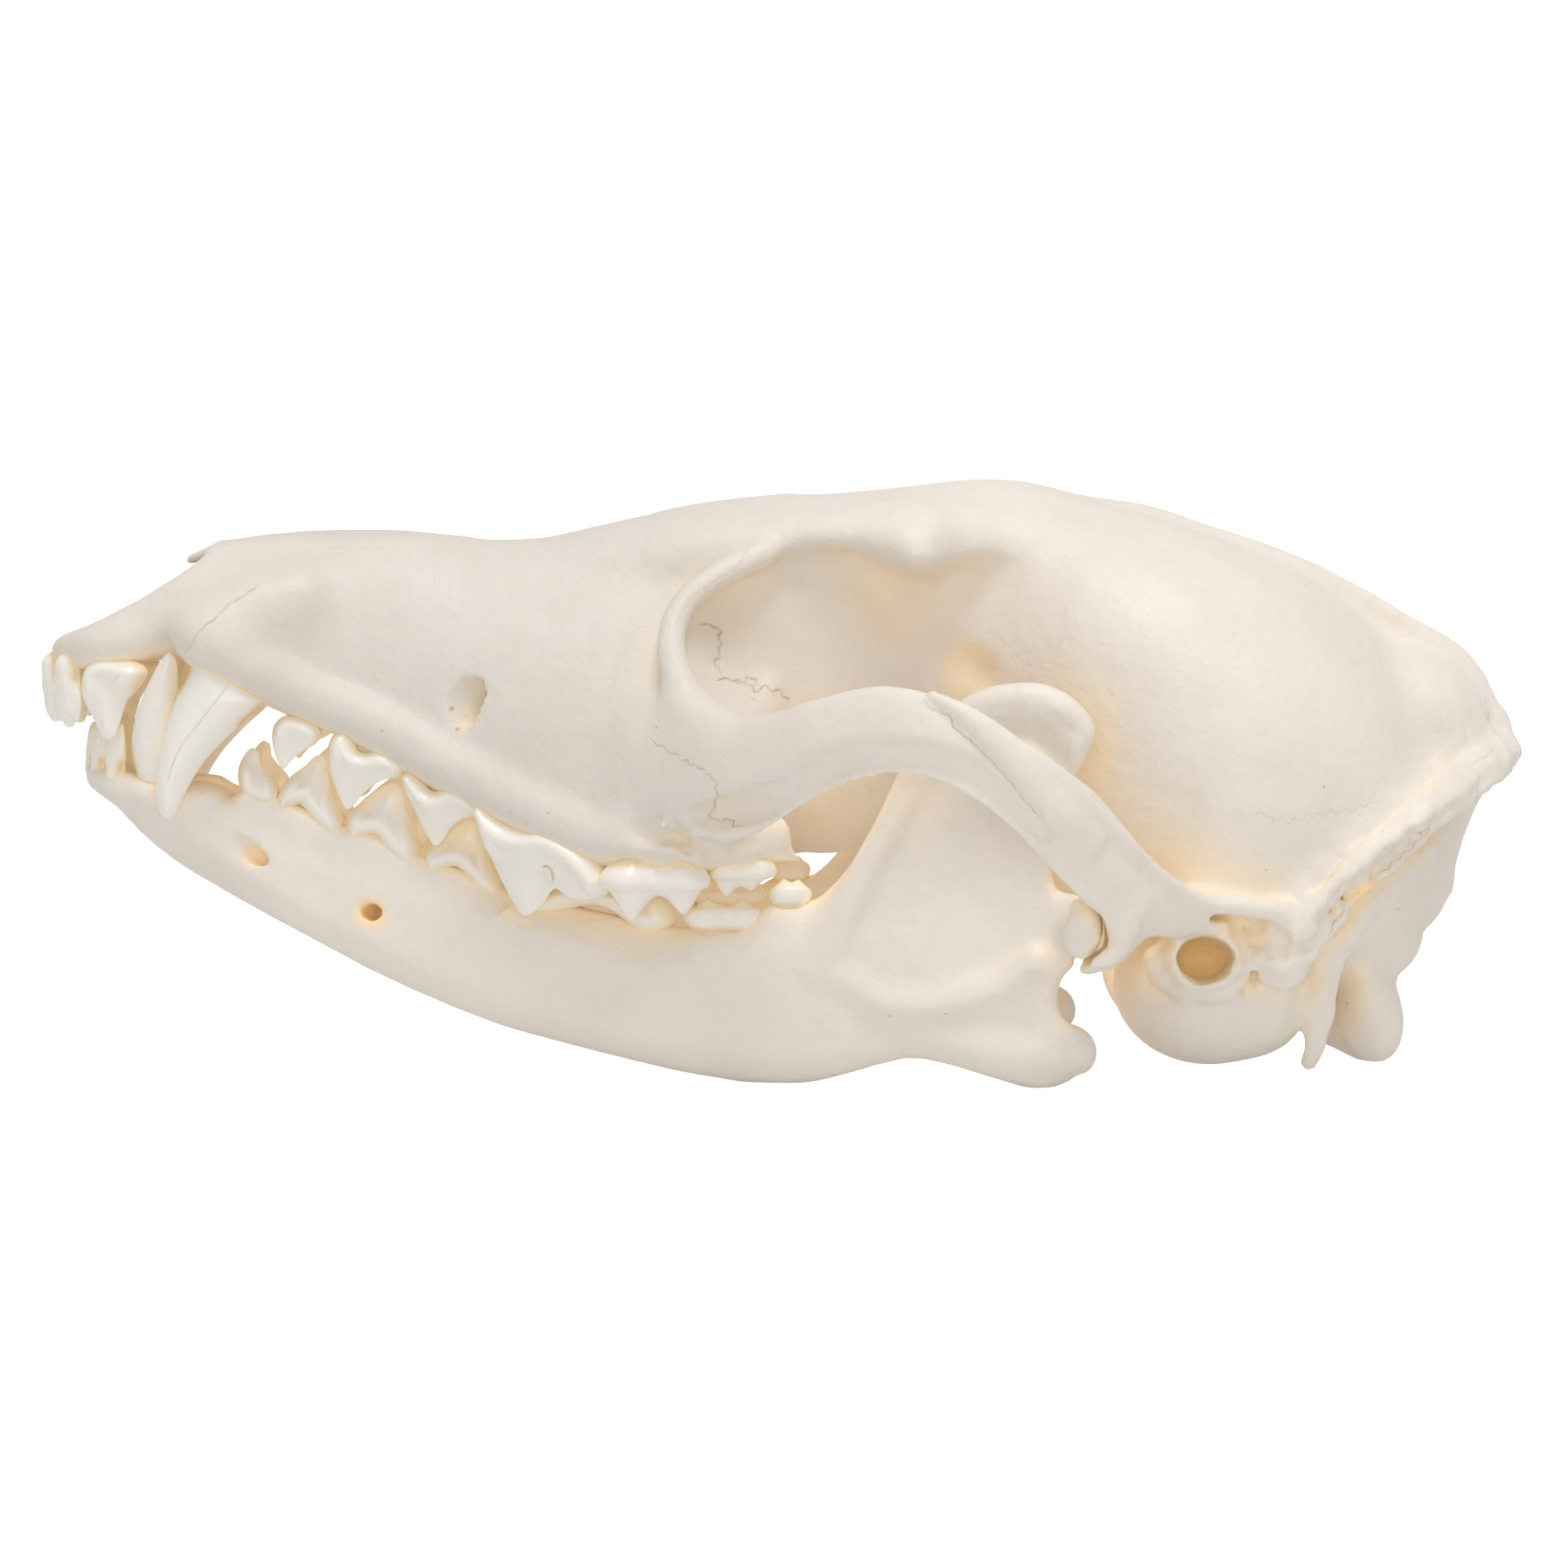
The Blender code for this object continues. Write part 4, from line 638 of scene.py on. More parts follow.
# Pores, dark marks painted for the shade inside small holes of the bone: half width and the pixel in
# the photograph; and their half length in pixels for each millimetre of half width
PORE_SHADOWS = [
    (0.36, 556, 873), (0.32, 564, 898), (0.14, 471, 901), (0.13, 630, 1000), (0.12, 676, 1002),
    (0.15, 809, 896), (0.13, 1096, 1252), (0.13, 1165, 1249), (0.17, 1631, 969), (0.12, 1660, 1236),
    (0.12, 1722, 1120), (0.12, 650, 1012), (0.11, 700, 1018), (0.13, 1560, 1072),
]
PORE_REACH = 8
# Crack of the canine, and a dark mark painted for the shadow in the slit of the upper carnassial:
# half width, zigzag, depth of colour, pixels
TOOTH_LINES = [
    (0.07, 0.05, 0.5, [(282, 843), (248, 887), (219, 927), (205, 968)]),
    (0.17, 0.0, 0.8, [(668, 1068), (674, 1068), (679, 1073), (681, 1080), (681, 1086)]),
]

# Crowns with one side outline: plane of the tooth from front x, y to rear x, y; neck height front
# and rear; tip height; half thickness; lean of the tip outwards; heart of the outline x, z; the
# outline x, z; and how far the belt along the neck stands out
UPPER_CROWNS = [
    ("incisor_1", (-79.3, 0.3, -77.6, 3.5), 43.9, 43.7, 37.4, 1.7, 0.0, None, "nipper", 0.1),
    ("incisor_2", (-77.9, 3.7, -75.2, 6.9), 43.9, 43.8, 37.0, 1.8, 0.2, None, "nipper", 0.1),
    ("incisor_3", (-74.9, 7.0, -67.9, 9.2), 43.8, 43.4, 35.8, 2.2, 0.8, (-71.9, 41.2),
     [(-74.8, 42.6), (-74.1, 43.9), (-72.6, 44.7), (-70.6, 44.6), (-68.7, 44.1), (-67.8, 43.1), (-68.5, 41.7),
      (-70.0, 39.9), (-70.8, 37.6), (-71.5, 36.0), (-72.4, 35.9), (-73.8, 38.2), (-74.8, 40.3)], 0.4),
    ("canine", (-62.7, 11.6, -55.2, 12.4), 44.4, 40.0, 27.4, 2.7, 1.0, (-61.6, 38.6),
     [(-61.9, 44.9), (-60.2, 44.5), (-58.0, 43.2), (-56.2, 41.6), (-55.1, 40.1), (-56.5, 38.6), (-59.2, 36.1),
      (-61.8, 33.2), (-63.5, 30.3), (-64.4, 28.3), (-65.2, 27.4), (-66.1, 28.0), (-66.7, 30.2), (-66.4, 33.9),
      (-65.2, 38.3), (-63.6, 42.2)], 0.0),
    ("premolar_1", (-54.3, 11.6, -49.1, 11.9), 38.2, 37.4, 32.8, 1.5, 0.0, (-52.0, 36.6),
     [(-54.0, 37.6), (-53.0, 38.5), (-51.2, 38.4), (-49.5, 37.6), (-49.0, 36.4), (-49.9, 35.3), (-51.3, 34.6),
      (-52.3, 33.6), (-53.1, 32.8), (-53.8, 33.8), (-54.2, 35.2), (-54.3, 36.5)], 0.56),
    ("premolar_2", (-48.3, 12.1, -39.9, 13.2), 36.6, 34.2, 28.6, 1.8, 0.0, (-45.2, 33.0),
     [(-48.2, 35.6), (-47.4, 36.8), (-46.3, 37.0), (-45.5, 36.1), (-44.9, 34.9), (-44.2, 34.7), (-42.6, 35.1),
      (-41.0, 34.5), (-39.9, 33.1), (-40.7, 32.1), (-42.3, 31.7), (-43.7, 31.0), (-44.8, 29.9), (-45.7, 28.8),
      (-46.4, 28.6), (-47.2, 30.1), (-47.9, 32.0), (-48.3, 34.0)], 0.56),
    ("premolar_3", (-40.2, 13.3, -31.4, 15.8), 33.2, 30.2, 24.8, 1.9, 0.0, (-36.6, 29.4),
     [(-40.3, 32.2), (-39.3, 32.7), (-38.2, 31.8), (-37.2, 30.8), (-36.4, 30.7), (-35.3, 31.3), (-33.9, 31.3),
      (-32.3, 30.5), (-31.4, 29.1), (-32.4, 28.2), (-34.1, 27.6), (-35.3, 26.5), (-36.1, 25.2), (-36.9, 24.8),
      (-37.9, 26.3), (-39.0, 28.6), (-40.0, 30.8)], 0.56),
    ("carnassial", (-32.3, 16.0, -17.8, 22.4), 29.4, 23.0, 17.7, 2.5, 0.3, (-27.0, 24.2),
     [(-32.2, 28.8), (-31.4, 29.7), (-29.9, 28.7), (-28.1, 27.5), (-26.2, 27.1), (-24.5, 27.3), (-22.3, 26.6),
      (-20.2, 25.2), (-18.5, 23.3), (-17.8, 21.7), (-18.5, 20.1), (-20.4, 19.5), (-22.6, 19.8), (-23.9, 20.6),
      (-25.2, 19.0), (-26.5, 17.8), (-27.4, 17.7), (-28.3, 18.9), (-29.5, 21.0), (-30.8, 23.9),
      (-31.8, 26.8)], 0.56),
]
LOWER_CROWNS = [
    ("incisor_1", (-74.6, 0.3, -74.1, 2.5), 32.4, 32.2, 37.4, 1.2, 0.0, None, "nipper", 0.1),
    ("incisor_2", (-74.1, 2.7, -72.7, 4.9), 32.2, 32.0, 37.8, 1.3, 0.0, None, "nipper", 0.1),
    ("incisor_3", (-72.5, 5.0, -70.5, 7.0), 31.8, 31.6, 38.2, 1.4, 0.2, None, "nipper", 0.1),
    ("canine", (-69.5, 7.6, -63.7, 8.2), 31.2, 31.4, 45.1, 2.3, 2.8, (-66.6, 36.6),
     [(-68.4, 30.8), (-69.3, 32.7), (-69.6, 34.9), (-69.4, 37.1), (-68.6, 39.8), (-67.4, 42.3), (-66.2, 44.4),
      (-65.3, 45.2), (-64.6, 44.5), (-64.4, 42.1), (-64.2, 39.5), (-63.7, 36.5), (-63.4, 33.5), (-63.8, 31.0),
      (-66.0, 30.0)], 0.0),
    ("premolar_1", (-58.1, 8.0, -54.0, 8.5), 30.8, 29.6, 34.9, 1.4, 0.0, (-56.3, 32.2),
     [(-58.2, 32.4), (-57.5, 34.2), (-56.7, 34.9), (-56.0, 34.5), (-55.8, 33.3), (-55.0, 32.2), (-54.0, 31.0),
      (-53.9, 29.6), (-54.8, 28.9), (-56.6, 29.3), (-57.9, 30.4)], 0.56),
    ("premolar_2", (-53.8, 8.7, -46.9, 9.6), 29.2, 26.6, 34.2, 1.6, 0.0, (-49.6, 30.0),
     [(-53.6, 30.6), (-52.5, 31.9), (-50.9, 33.1), (-49.8, 34.1), (-48.9, 34.1), (-48.5, 32.3), (-48.1, 30.1),
      (-47.2, 28.3), (-46.9, 26.9), (-47.5, 25.8), (-49.0, 26.2), (-50.3, 27.5), (-51.4, 28.8), (-52.5, 28.6),
      (-53.4, 27.9), (-53.9, 29.1)], 0.56),
    ("premolar_3", (-46.2, 9.7, -38.6, 11.0), 26.4, 23.6, 31.2, 1.7, 0.0, (-42.0, 27.0),
     [(-46.3, 27.9), (-44.8, 29.3), (-42.8, 30.8), (-41.4, 31.3), (-40.6, 30.7), (-40.2, 28.8), (-39.3, 26.6),
      (-38.6, 24.7), (-39.1, 22.8), (-40.7, 23.0), (-42.3, 24.5), (-43.5, 25.7), (-44.6, 25.5), (-45.8, 25.0),
      (-46.4, 26.2)], 0.56),
    ("premolar_4", (-37.8, 11.0, -29.6, 12.6), 22.9, 20.2, 27.6, 1.8, 0.0, (-33.4, 23.6),
     [(-37.9, 24.0), (-36.2, 25.3), (-34.5, 26.9), (-33.2, 27.5), (-32.2, 27.1), (-31.7, 25.3), (-30.8, 23.0),
      (-29.8, 21.1), (-29.6, 19.8), (-30.6, 19.3), (-32.2, 20.1), (-33.5, 21.5), (-34.9, 22.4), (-36.5, 21.8),
      (-37.6, 21.8), (-38.0, 22.9)], 0.56),
    ("carnassial", (-29.2, 12.7, -11.0, 16.9), 19.4, 16.2, 26.4, 2.3, -0.5, (-21.0, 20.4),
     [(-29.1, 19.4), (-28.7, 22.4), (-26.8, 24.2), (-24.9, 24.1), (-23.6, 23.4), (-22.1, 25.5), (-20.7, 26.3),
      (-19.3, 25.1), (-18.2, 22.0), (-16.2, 20.7), (-14.0, 20.5), (-12.2, 19.6), (-11.1, 17.8), (-11.6, 16.2),
      (-13.5, 15.6), (-15.5, 16.1), (-17.2, 17.4), (-19.0, 18.2), (-21.0, 18.3), (-24.2, 17.4),
      (-27.6, 17.4)], 0.56),
]
# Outline of a nipping tooth along the arcade: share of its width, share of its height from the neck
NIPPER = [
    (0.16, -0.10), (0.04, 0.18), (-0.03, 0.50), (0.02, 0.78), (0.12, 0.92), (0.24, 0.90),
    (0.34, 0.98), (0.50, 1.0), (0.66, 0.98), (0.76, 0.89), (0.90, 0.90), (1.0, 0.74),
    (1.02, 0.48), (0.94, 0.18), (0.82, -0.10), (0.5, -0.2),
]
# Height of a nipping tooth's heart, as a share of its crown
NIPPER_HEART = 0.45
# All crowns: how far they stand out for each millimetre of half thickness, share of the height that
# counts as the neck, rounding of the rim and the most it may be of the tooth's length, width of the
# belt on the carnassials, the long teeth and the short ones, softness of the belt's edge, and height
# over which the enamel turns from cream to white; that cream is partly the neck's own warmer colour
# and partly painted shade where the crown meets the bone
CROWN_SWELL = 1.2
NECK_SHARE = 0.25
RIM_ROUNDING, RIM_SHARE = 1.9, 0.36
LONG_TOOTH = 6
CARNASSIAL_BELT, LONG_BELT, SHORT_BELT = 2.6, 1.9, 1.5
BELT_SOFTNESS = 0.62
CREAM_HEIGHT = 0.8
# Notch of the carnassials: its x in the upper and the lower one, half width and depth, and the
# share of the crown's height where it begins and over which it deepens
UPPER_NOTCH, LOWER_NOTCH = -24.6, -23.3
NOTCH_HALF, NOTCH_DEPTH, NOTCH_START, NOTCH_RISE = 0.5, 0.8, 0.35, 0.25
# Side of a grinding tooth from rim to neck: share of the plan's size, share of the rim's height
GRINDER_SIDE = [
    (0.97, 0.95), (1.03, 0.84), (1.05, 0.66), (1.04, 0.46), (0.98, 0.24), (0.9, 0.06), (0.86, -0.1),
]
# Grinding teeth: name, centre x and y, neck height, crown height, plan outline, cusps (x, y, height, width)
UPPER_GRINDERS = [
    ("molar_1", -13.3, 20.4, 23.4, 3.6,
     [(-5.6, 3.6), (-4.4, 5.3), (-2.6, 5.9), (-0.4, 5.0), (1.6, 5.3), (3.8, 5.4), (5.5, 3.8), (5.0, 1.4),
      (3.6, -1.6), (1.9, -4.6), (0.0, -5.5), (-2.0, -4.4), (-3.6, -1.6), (-4.8, 1.2)],
     [(-2.6, 2.8, 3.5, 1.9), (3.2, 2.7, 3.0, 1.7), (0.2, -2.0, 1.2, 1.4), (-1.4, -0.6, 0.6, 0.9),
      (2.0, -1.0, 0.6, 0.9)]),
    ("molar_2", -4.1, 19.8, 23.9, 2.9,
     [(-3.5, 2.0), (-2.8, 3.3), (-1.4, 3.8), (0.4, 3.3), (2.2, 3.3), (3.4, 1.9), (3.0, -0.2), (2.0, -2.4),
      (0.6, -3.8), (-1.2, -3.2), (-2.6, -1.0)],
     [(-1.9, 1.5, 2.0, 1.3), (0.9, 1.5, 1.2, 1.1), (0.2, -1.6, 0.6, 0.9)]),
]
LOWER_GRINDERS = [
    ("molar_2", -5.9, 18.4, 16.3, 3.2,
     [(-4.2, 0.6), (-3.4, 2.2), (-1.6, 2.6), (0.2, 2.2), (2.0, 2.5), (3.8, 1.6), (4.2, -0.4), (3.2, -2.0),
      (1.0, -2.5), (-1.2, -2.5), (-3.2, -2.1), (-4.2, -0.9)],
     [(-2.0, 1.2, 1.0, 1.1), (1.9, 1.1, 0.9, 1.0), (-1.8, -1.2, 0.8, 1.0), (2.0, -1.0, 0.5, 0.9)]),
    ("molar_3", 0.9, 20.0, 19.0, 2.7,
     [(-2.1, 0.3), (-1.4, 1.6), (0.2, 1.9), (1.7, 1.4), (2.2, 0.0), (1.6, -1.4), (0.2, -1.8), (-1.4, -1.5)],
     [(-0.7, 0.6, 0.8, 0.7), (0.9, 0.5, 0.7, 0.7)]),
]


def curve(rows, x):
    """Smooth values between the rows of a table whose first column is the place: from row to row a
    cubic with the table's own slopes at both of them."""
    rows = np.asarray(rows, float)
    at, values = rows[:, 0], rows[:, 1:]
    slope = np.gradient(values, at, axis=0)
    x = np.clip(x, at[0], at[-1])
    i = np.clip(np.searchsorted(at, x, side="right") - 1, 0, len(at) - 2)
    step = (at[i + 1] - at[i])[:, None]
    t = (x - at[i])[:, None] / step
    a, b = values[i], values[i + 1]
    from_slope, to_slope = slope[i] * step, slope[i + 1] * step
    bend = 3 * (b - a) - 2 * from_slope - to_slope
    return a + t * from_slope + t**2 * bend + t**3 * (from_slope + to_slope - 2 * (b - a))


def ring(points, count):
    """Closed smooth line through the points, set apart by the square roots of their distances."""
    points = np.asarray(points, float)
    looped = np.vstack([points[-3:], points, points[:3]])
    steps = np.linalg.norm(np.diff(looped, axis=0), axis=1) ** 0.5
    at = np.concatenate([[0], np.cumsum(steps)])
    where = np.linspace(at[3], at[3 + len(points)], count, endpoint=False)
    return curve(np.hstack([at[:, None], looped]), where)


def joined(a, b, blend):
    """Two forms as one: b + (a - b) h - blend h (1 - h), with h = 0.5 + 0.5 (b - a) / blend held
    between 0 and 1. It is the smaller of them, with a fillet about as wide as blend."""
    h = np.clip(0.5 + 0.5 * (b - a) / blend, 0, 1)
    return b + (a - b) * h - blend * h * (1 - h)


def carved(a, b, blend):
    """The first form with the second taken out of it: -a and b joined, and turned inside out."""
    return -joined(-a, b, blend)


def loft(p, rows):
    """Form with a rounded section that changes from station to station along x: (g - 1) over the
    slope of g, with g = (across^n + up^n)^(1/n), where across and up are the point's shares of the
    half width and the height. Height and power n differ above and below the widest line."""
    rows = np.asarray(rows, float)
    x, y, z = p.T
    top, bottom, widest, half, power_up, power_down = curve(rows, x).T
    above = z > widest
    high = np.where(above, top - widest, widest - bottom)
    power = np.where(above, power_up, power_down)
    across = np.abs(y) / half + 1e-6
    up = np.abs(z - widest) / high + 1e-6
    g = (across**power + up**power) ** (1 / power)
    steep = g ** (1 - power) * np.hypot(across ** (power - 1) / half, up ** (power - 1) / high)
    form = (g - 1) / np.maximum(steep, 1 / np.maximum(half, high))
    return np.maximum(form, np.maximum(rows[0, 0] - x, x - rows[-1, 0]))


def ellipsoid(p, centre, radii, pitch):
    """Form of an egg, its long side turned by pitch degrees about y: for the turned point q it is
    g (g - 1) / |q / radii^2|, with g = |q / radii|."""
    q = p - np.asarray(centre, float)
    c, s = np.cos(np.radians(pitch)), np.sin(np.radians(pitch))
    q = np.stack([q[:, 0] * c - q[:, 2] * s, q[:, 1], q[:, 0] * s + q[:, 2] * c], 1)
    radii = np.asarray(radii, float)
    g = np.linalg.norm(q / radii, axis=1)
    return g * (g - 1) / np.maximum(np.linalg.norm(q / radii**2, axis=1), 1e-6)


def sweep(p, rows, up=(0, 0, 1), samples=40):
    """Form of a bar along a path, with an oval section that changes on the way: (g - 1) over the
    slope of g, where g is the length of the point's parts across, up and along at the nearest place
    of the path, each over its half size."""
    rows = np.asarray(rows, float)
    at = np.arange(len(rows))[:, None]
    dense = curve(np.hstack([at, rows]), np.linspace(0, len(rows) - 1, samples))
    path, half_side, half_up = dense[:, :3], dense[:, 3], dense[:, 4]
    along = np.gradient(path, axis=0)
    along /= np.linalg.norm(along, axis=1)[:, None]
    up = np.asarray(up, float)
    high = up - along * (along @ up)[:, None]
    high /= np.linalg.norm(high, axis=1)[:, None]
    side = np.cross(along, high)
    form = np.full(len(p), FAR)
    reach = max(half_side.max(), half_up.max()) + NEAR
    near = np.all((p > path.min(0) - reach) & (p < path.max(0) + reach), axis=1)
    q = p[near]
    if not len(q):
        return form
    best = np.full(len(q), 1e9)
    where = np.zeros(len(q))
    for i in range(samples - 1):
        step = path[i + 1] - path[i]
        t = np.clip((q - path[i]) @ step / (step @ step), 0, 1)
        distance = ((q - path[i] - t[:, None] * step) ** 2).sum(1)
        less = distance < best
        best[less] = distance[less]
        where[less] = (i + t)[less]
    table = np.hstack([path, half_side[:, None], half_up[:, None], side, high, along])
    i = np.minimum(where.astype(int), samples - 2)
    t = (where - i)[:, None]
    v = table[i] * (1 - t) + table[i + 1] * t
    o = q - v[:, :3]
    parts = np.stack([(o * v[:, k:k + 3]).sum(1) for k in (5, 8, 11)], 1)
    halves = np.stack([v[:, 3], v[:, 4], np.minimum(v[:, 3], v[:, 4])], 1)
    g = np.linalg.norm(parts / halves, axis=1)
    steep = np.linalg.norm(parts / halves**2, axis=1) / np.maximum(g, 1e-6)
    form[near] = (g - 1) / np.maximum(steep, 1e-3)
    return form


def plate(p, line, middle, half, rounding):
    """Form of a plate with a closed outline seen from the side and a rounded rim: (g - 1) over the
    slope of g, with g = hypot(u, v), where u is the share of the rounding that the point lacks to be
    clear of the rim, and v its share of the half thickness."""
    x, z = p[:, 0], p[:, 2]
    best = np.full(len(p), 1e9)
    inside = np.zeros(len(p), bool)
    for (ax, az), (bx, bz) in zip(line, np.roll(line, -1, axis=0)):
        dx, dz = bx - ax, bz - az
        t = np.clip(((x - ax) * dx + (z - az) * dz) / (dx * dx + dz * dz + 1e-12), 0, 1)
        best = np.minimum(best, (x - ax - t * dx) ** 2 + (z - az - t * dz) ** 2)
        if dz:
            inside ^= ((az > z) != (bz > z)) & (x < ax + (z - az) / dz * dx)
    depth = np.where(inside, 1, -1) * np.sqrt(best)
    u = np.maximum(rounding - depth, 0) / rounding
    v = (p[:, 1] - middle) / half
    g = np.hypot(u, v)
    steep = np.hypot(u / rounding, v / half) / np.maximum(g, 1e-6)
    return (g - 1) / np.maximum(steep, 1 / np.maximum(rounding, half))


def lattice(p, size, seed):
    """Smooth noise between -1 and 1: random values at the corners of cubes of the size, and eased
    blends of the eight corners between them."""
    values = np.random.default_rng(seed).uniform(-1, 1, BUMP_VALUES)
    q = p / size
    cell = np.floor(q).astype(np.int64)
    t = q - cell
    t = t * t * (3 - 2 * t)
    total = np.zeros(len(p))
    for corner in range(8):
        step = np.array([corner & 1, corner >> 1 & 1, corner >> 2 & 1])
        share = np.prod(np.where(step, t, 1 - t), axis=1)
        key = (cell + step) @ np.array(BUMP_KEY)
        total += share * values[key % BUMP_VALUES]
    return total


def merge(f, p, form, low, high, blend, cut=False):
    """Joins the form to f, or takes it out of f, at the points inside the box alone."""
    low, high = np.asarray(low, float) - blend - 1, np.asarray(high, float) + blend + 1
    near = np.all((p > low) & (p < high), axis=1)
    if near.any():
        part = form(p[near])
        f[near] = carved(f[near], part, blend) if cut else joined(f[near], part, blend)


def with_sweep(f, p, rows, blend, cut=False, **ways):
    """f with a bar joined or cut along the rows' path."""
    table = np.asarray(rows, float)
    reach = table[:, 3:].max()
    low, high = table[:, :3].min(0) - reach, table[:, :3].max(0) + reach
    merge(f, p, lambda q: sweep(q, rows, **ways), low, high, blend, cut)


def with_loft(f, p, rows, blend, cut=False):
    """f with a lofted body joined or cut."""
    table = np.asarray(rows, float)
    low = (table[0, 0], -1, table[:, 2].min())
    high = (table[-1, 0], table[:, 4].max(), table[:, 1].max())
    merge(f, p, lambda q: loft(q, rows), low, high, blend, cut)


def with_egg(f, p, egg, blend, cut=False):
    """f with an egg joined or cut."""
    centre, radii, pitch = egg
    long = max(radii[0], radii[2])
    reach = (long, radii[1], long)
    low, high = np.subtract(centre, reach), np.add(centre, reach)
    merge(f, p, lambda q: ellipsoid(q, centre, radii, pitch), low, high, blend, cut)


def beads(count, seed):
    """Rows of a beaded ring round the ear's opening, by the angle t: the centre plus (4.4 cos t,
    0.7 sin t, 3.6 sin t), and 1.1 - 0.35 sin t thick. Random lumps widen and thicken it."""
    t = np.linspace(0, 2 * np.pi, count)
    lumps = np.random.default_rng(seed).uniform(-0.45, 0.42, count)
    lumps[-1] = lumps[0]
    thick = 1.1 - 0.35 * np.sin(t) + lumps
    x, y, z = BEADS_CENTRE
    return np.column_stack([x + (4.4 + 0.6 * lumps) * np.cos(t), y + 0.7 * np.sin(t),
                            z + (3.6 + 0.6 * lumps) * np.sin(t), thick, thick])


def ear_lips(count):
    """Rows of the uneven lip round the ear's opening, by the angle t: the centre plus (4.2 cos t,
    0.5 cos(t - 0.8), 3.5 sin t), and 1 + 0.26 cos t + 0.14 sin(3t + 1) + 0.1 sin 7t thick."""
    t = np.linspace(0.2, 2 * np.pi + 0.1, count)
    thick = 1.0 + 0.26 * np.cos(t) + 0.14 * np.sin(3 * t + 1) + 0.1 * np.sin(7 * t)
    x, y, z = LIP_CENTRE
    place = [x + 4.2 * np.cos(t), y + 0.5 * np.cos(t - 0.8), z + 3.5 * np.sin(t)]
    return np.column_stack([*place, thick, thick * 0.9])


def roughened(f, p, seed, spots):
    """f with smooth noise added, stronger and finer at the spots: x, y, z, radius, strength. Noise of
    the bumps' size comes in with their height, noise of 0.47 of that size with half the strength
    there, and noise of a quarter of it with 0.8 of what the spots alone bring."""
    near = np.abs(f) < BUMP_REACH
    if near.any():
        q = p[near]
        strength = np.full(len(q), BUMP_HEIGHT)
        for x, y, z, radius, more in spots:
            strength += more * np.exp(-((q - (x, y, z)) ** 2).sum(1) / radius**2)
        wide, fine = lattice(q, BUMP_SIZE, seed), lattice(q, BUMP_SIZE * 0.47, seed + 1)
        f[near] += BUMP_HEIGHT * wide + 0.5 * strength * fine
        f[near] += 0.8 * (strength - BUMP_HEIGHT) * lattice(q, BUMP_SIZE * 0.25, seed + 2)
    return f


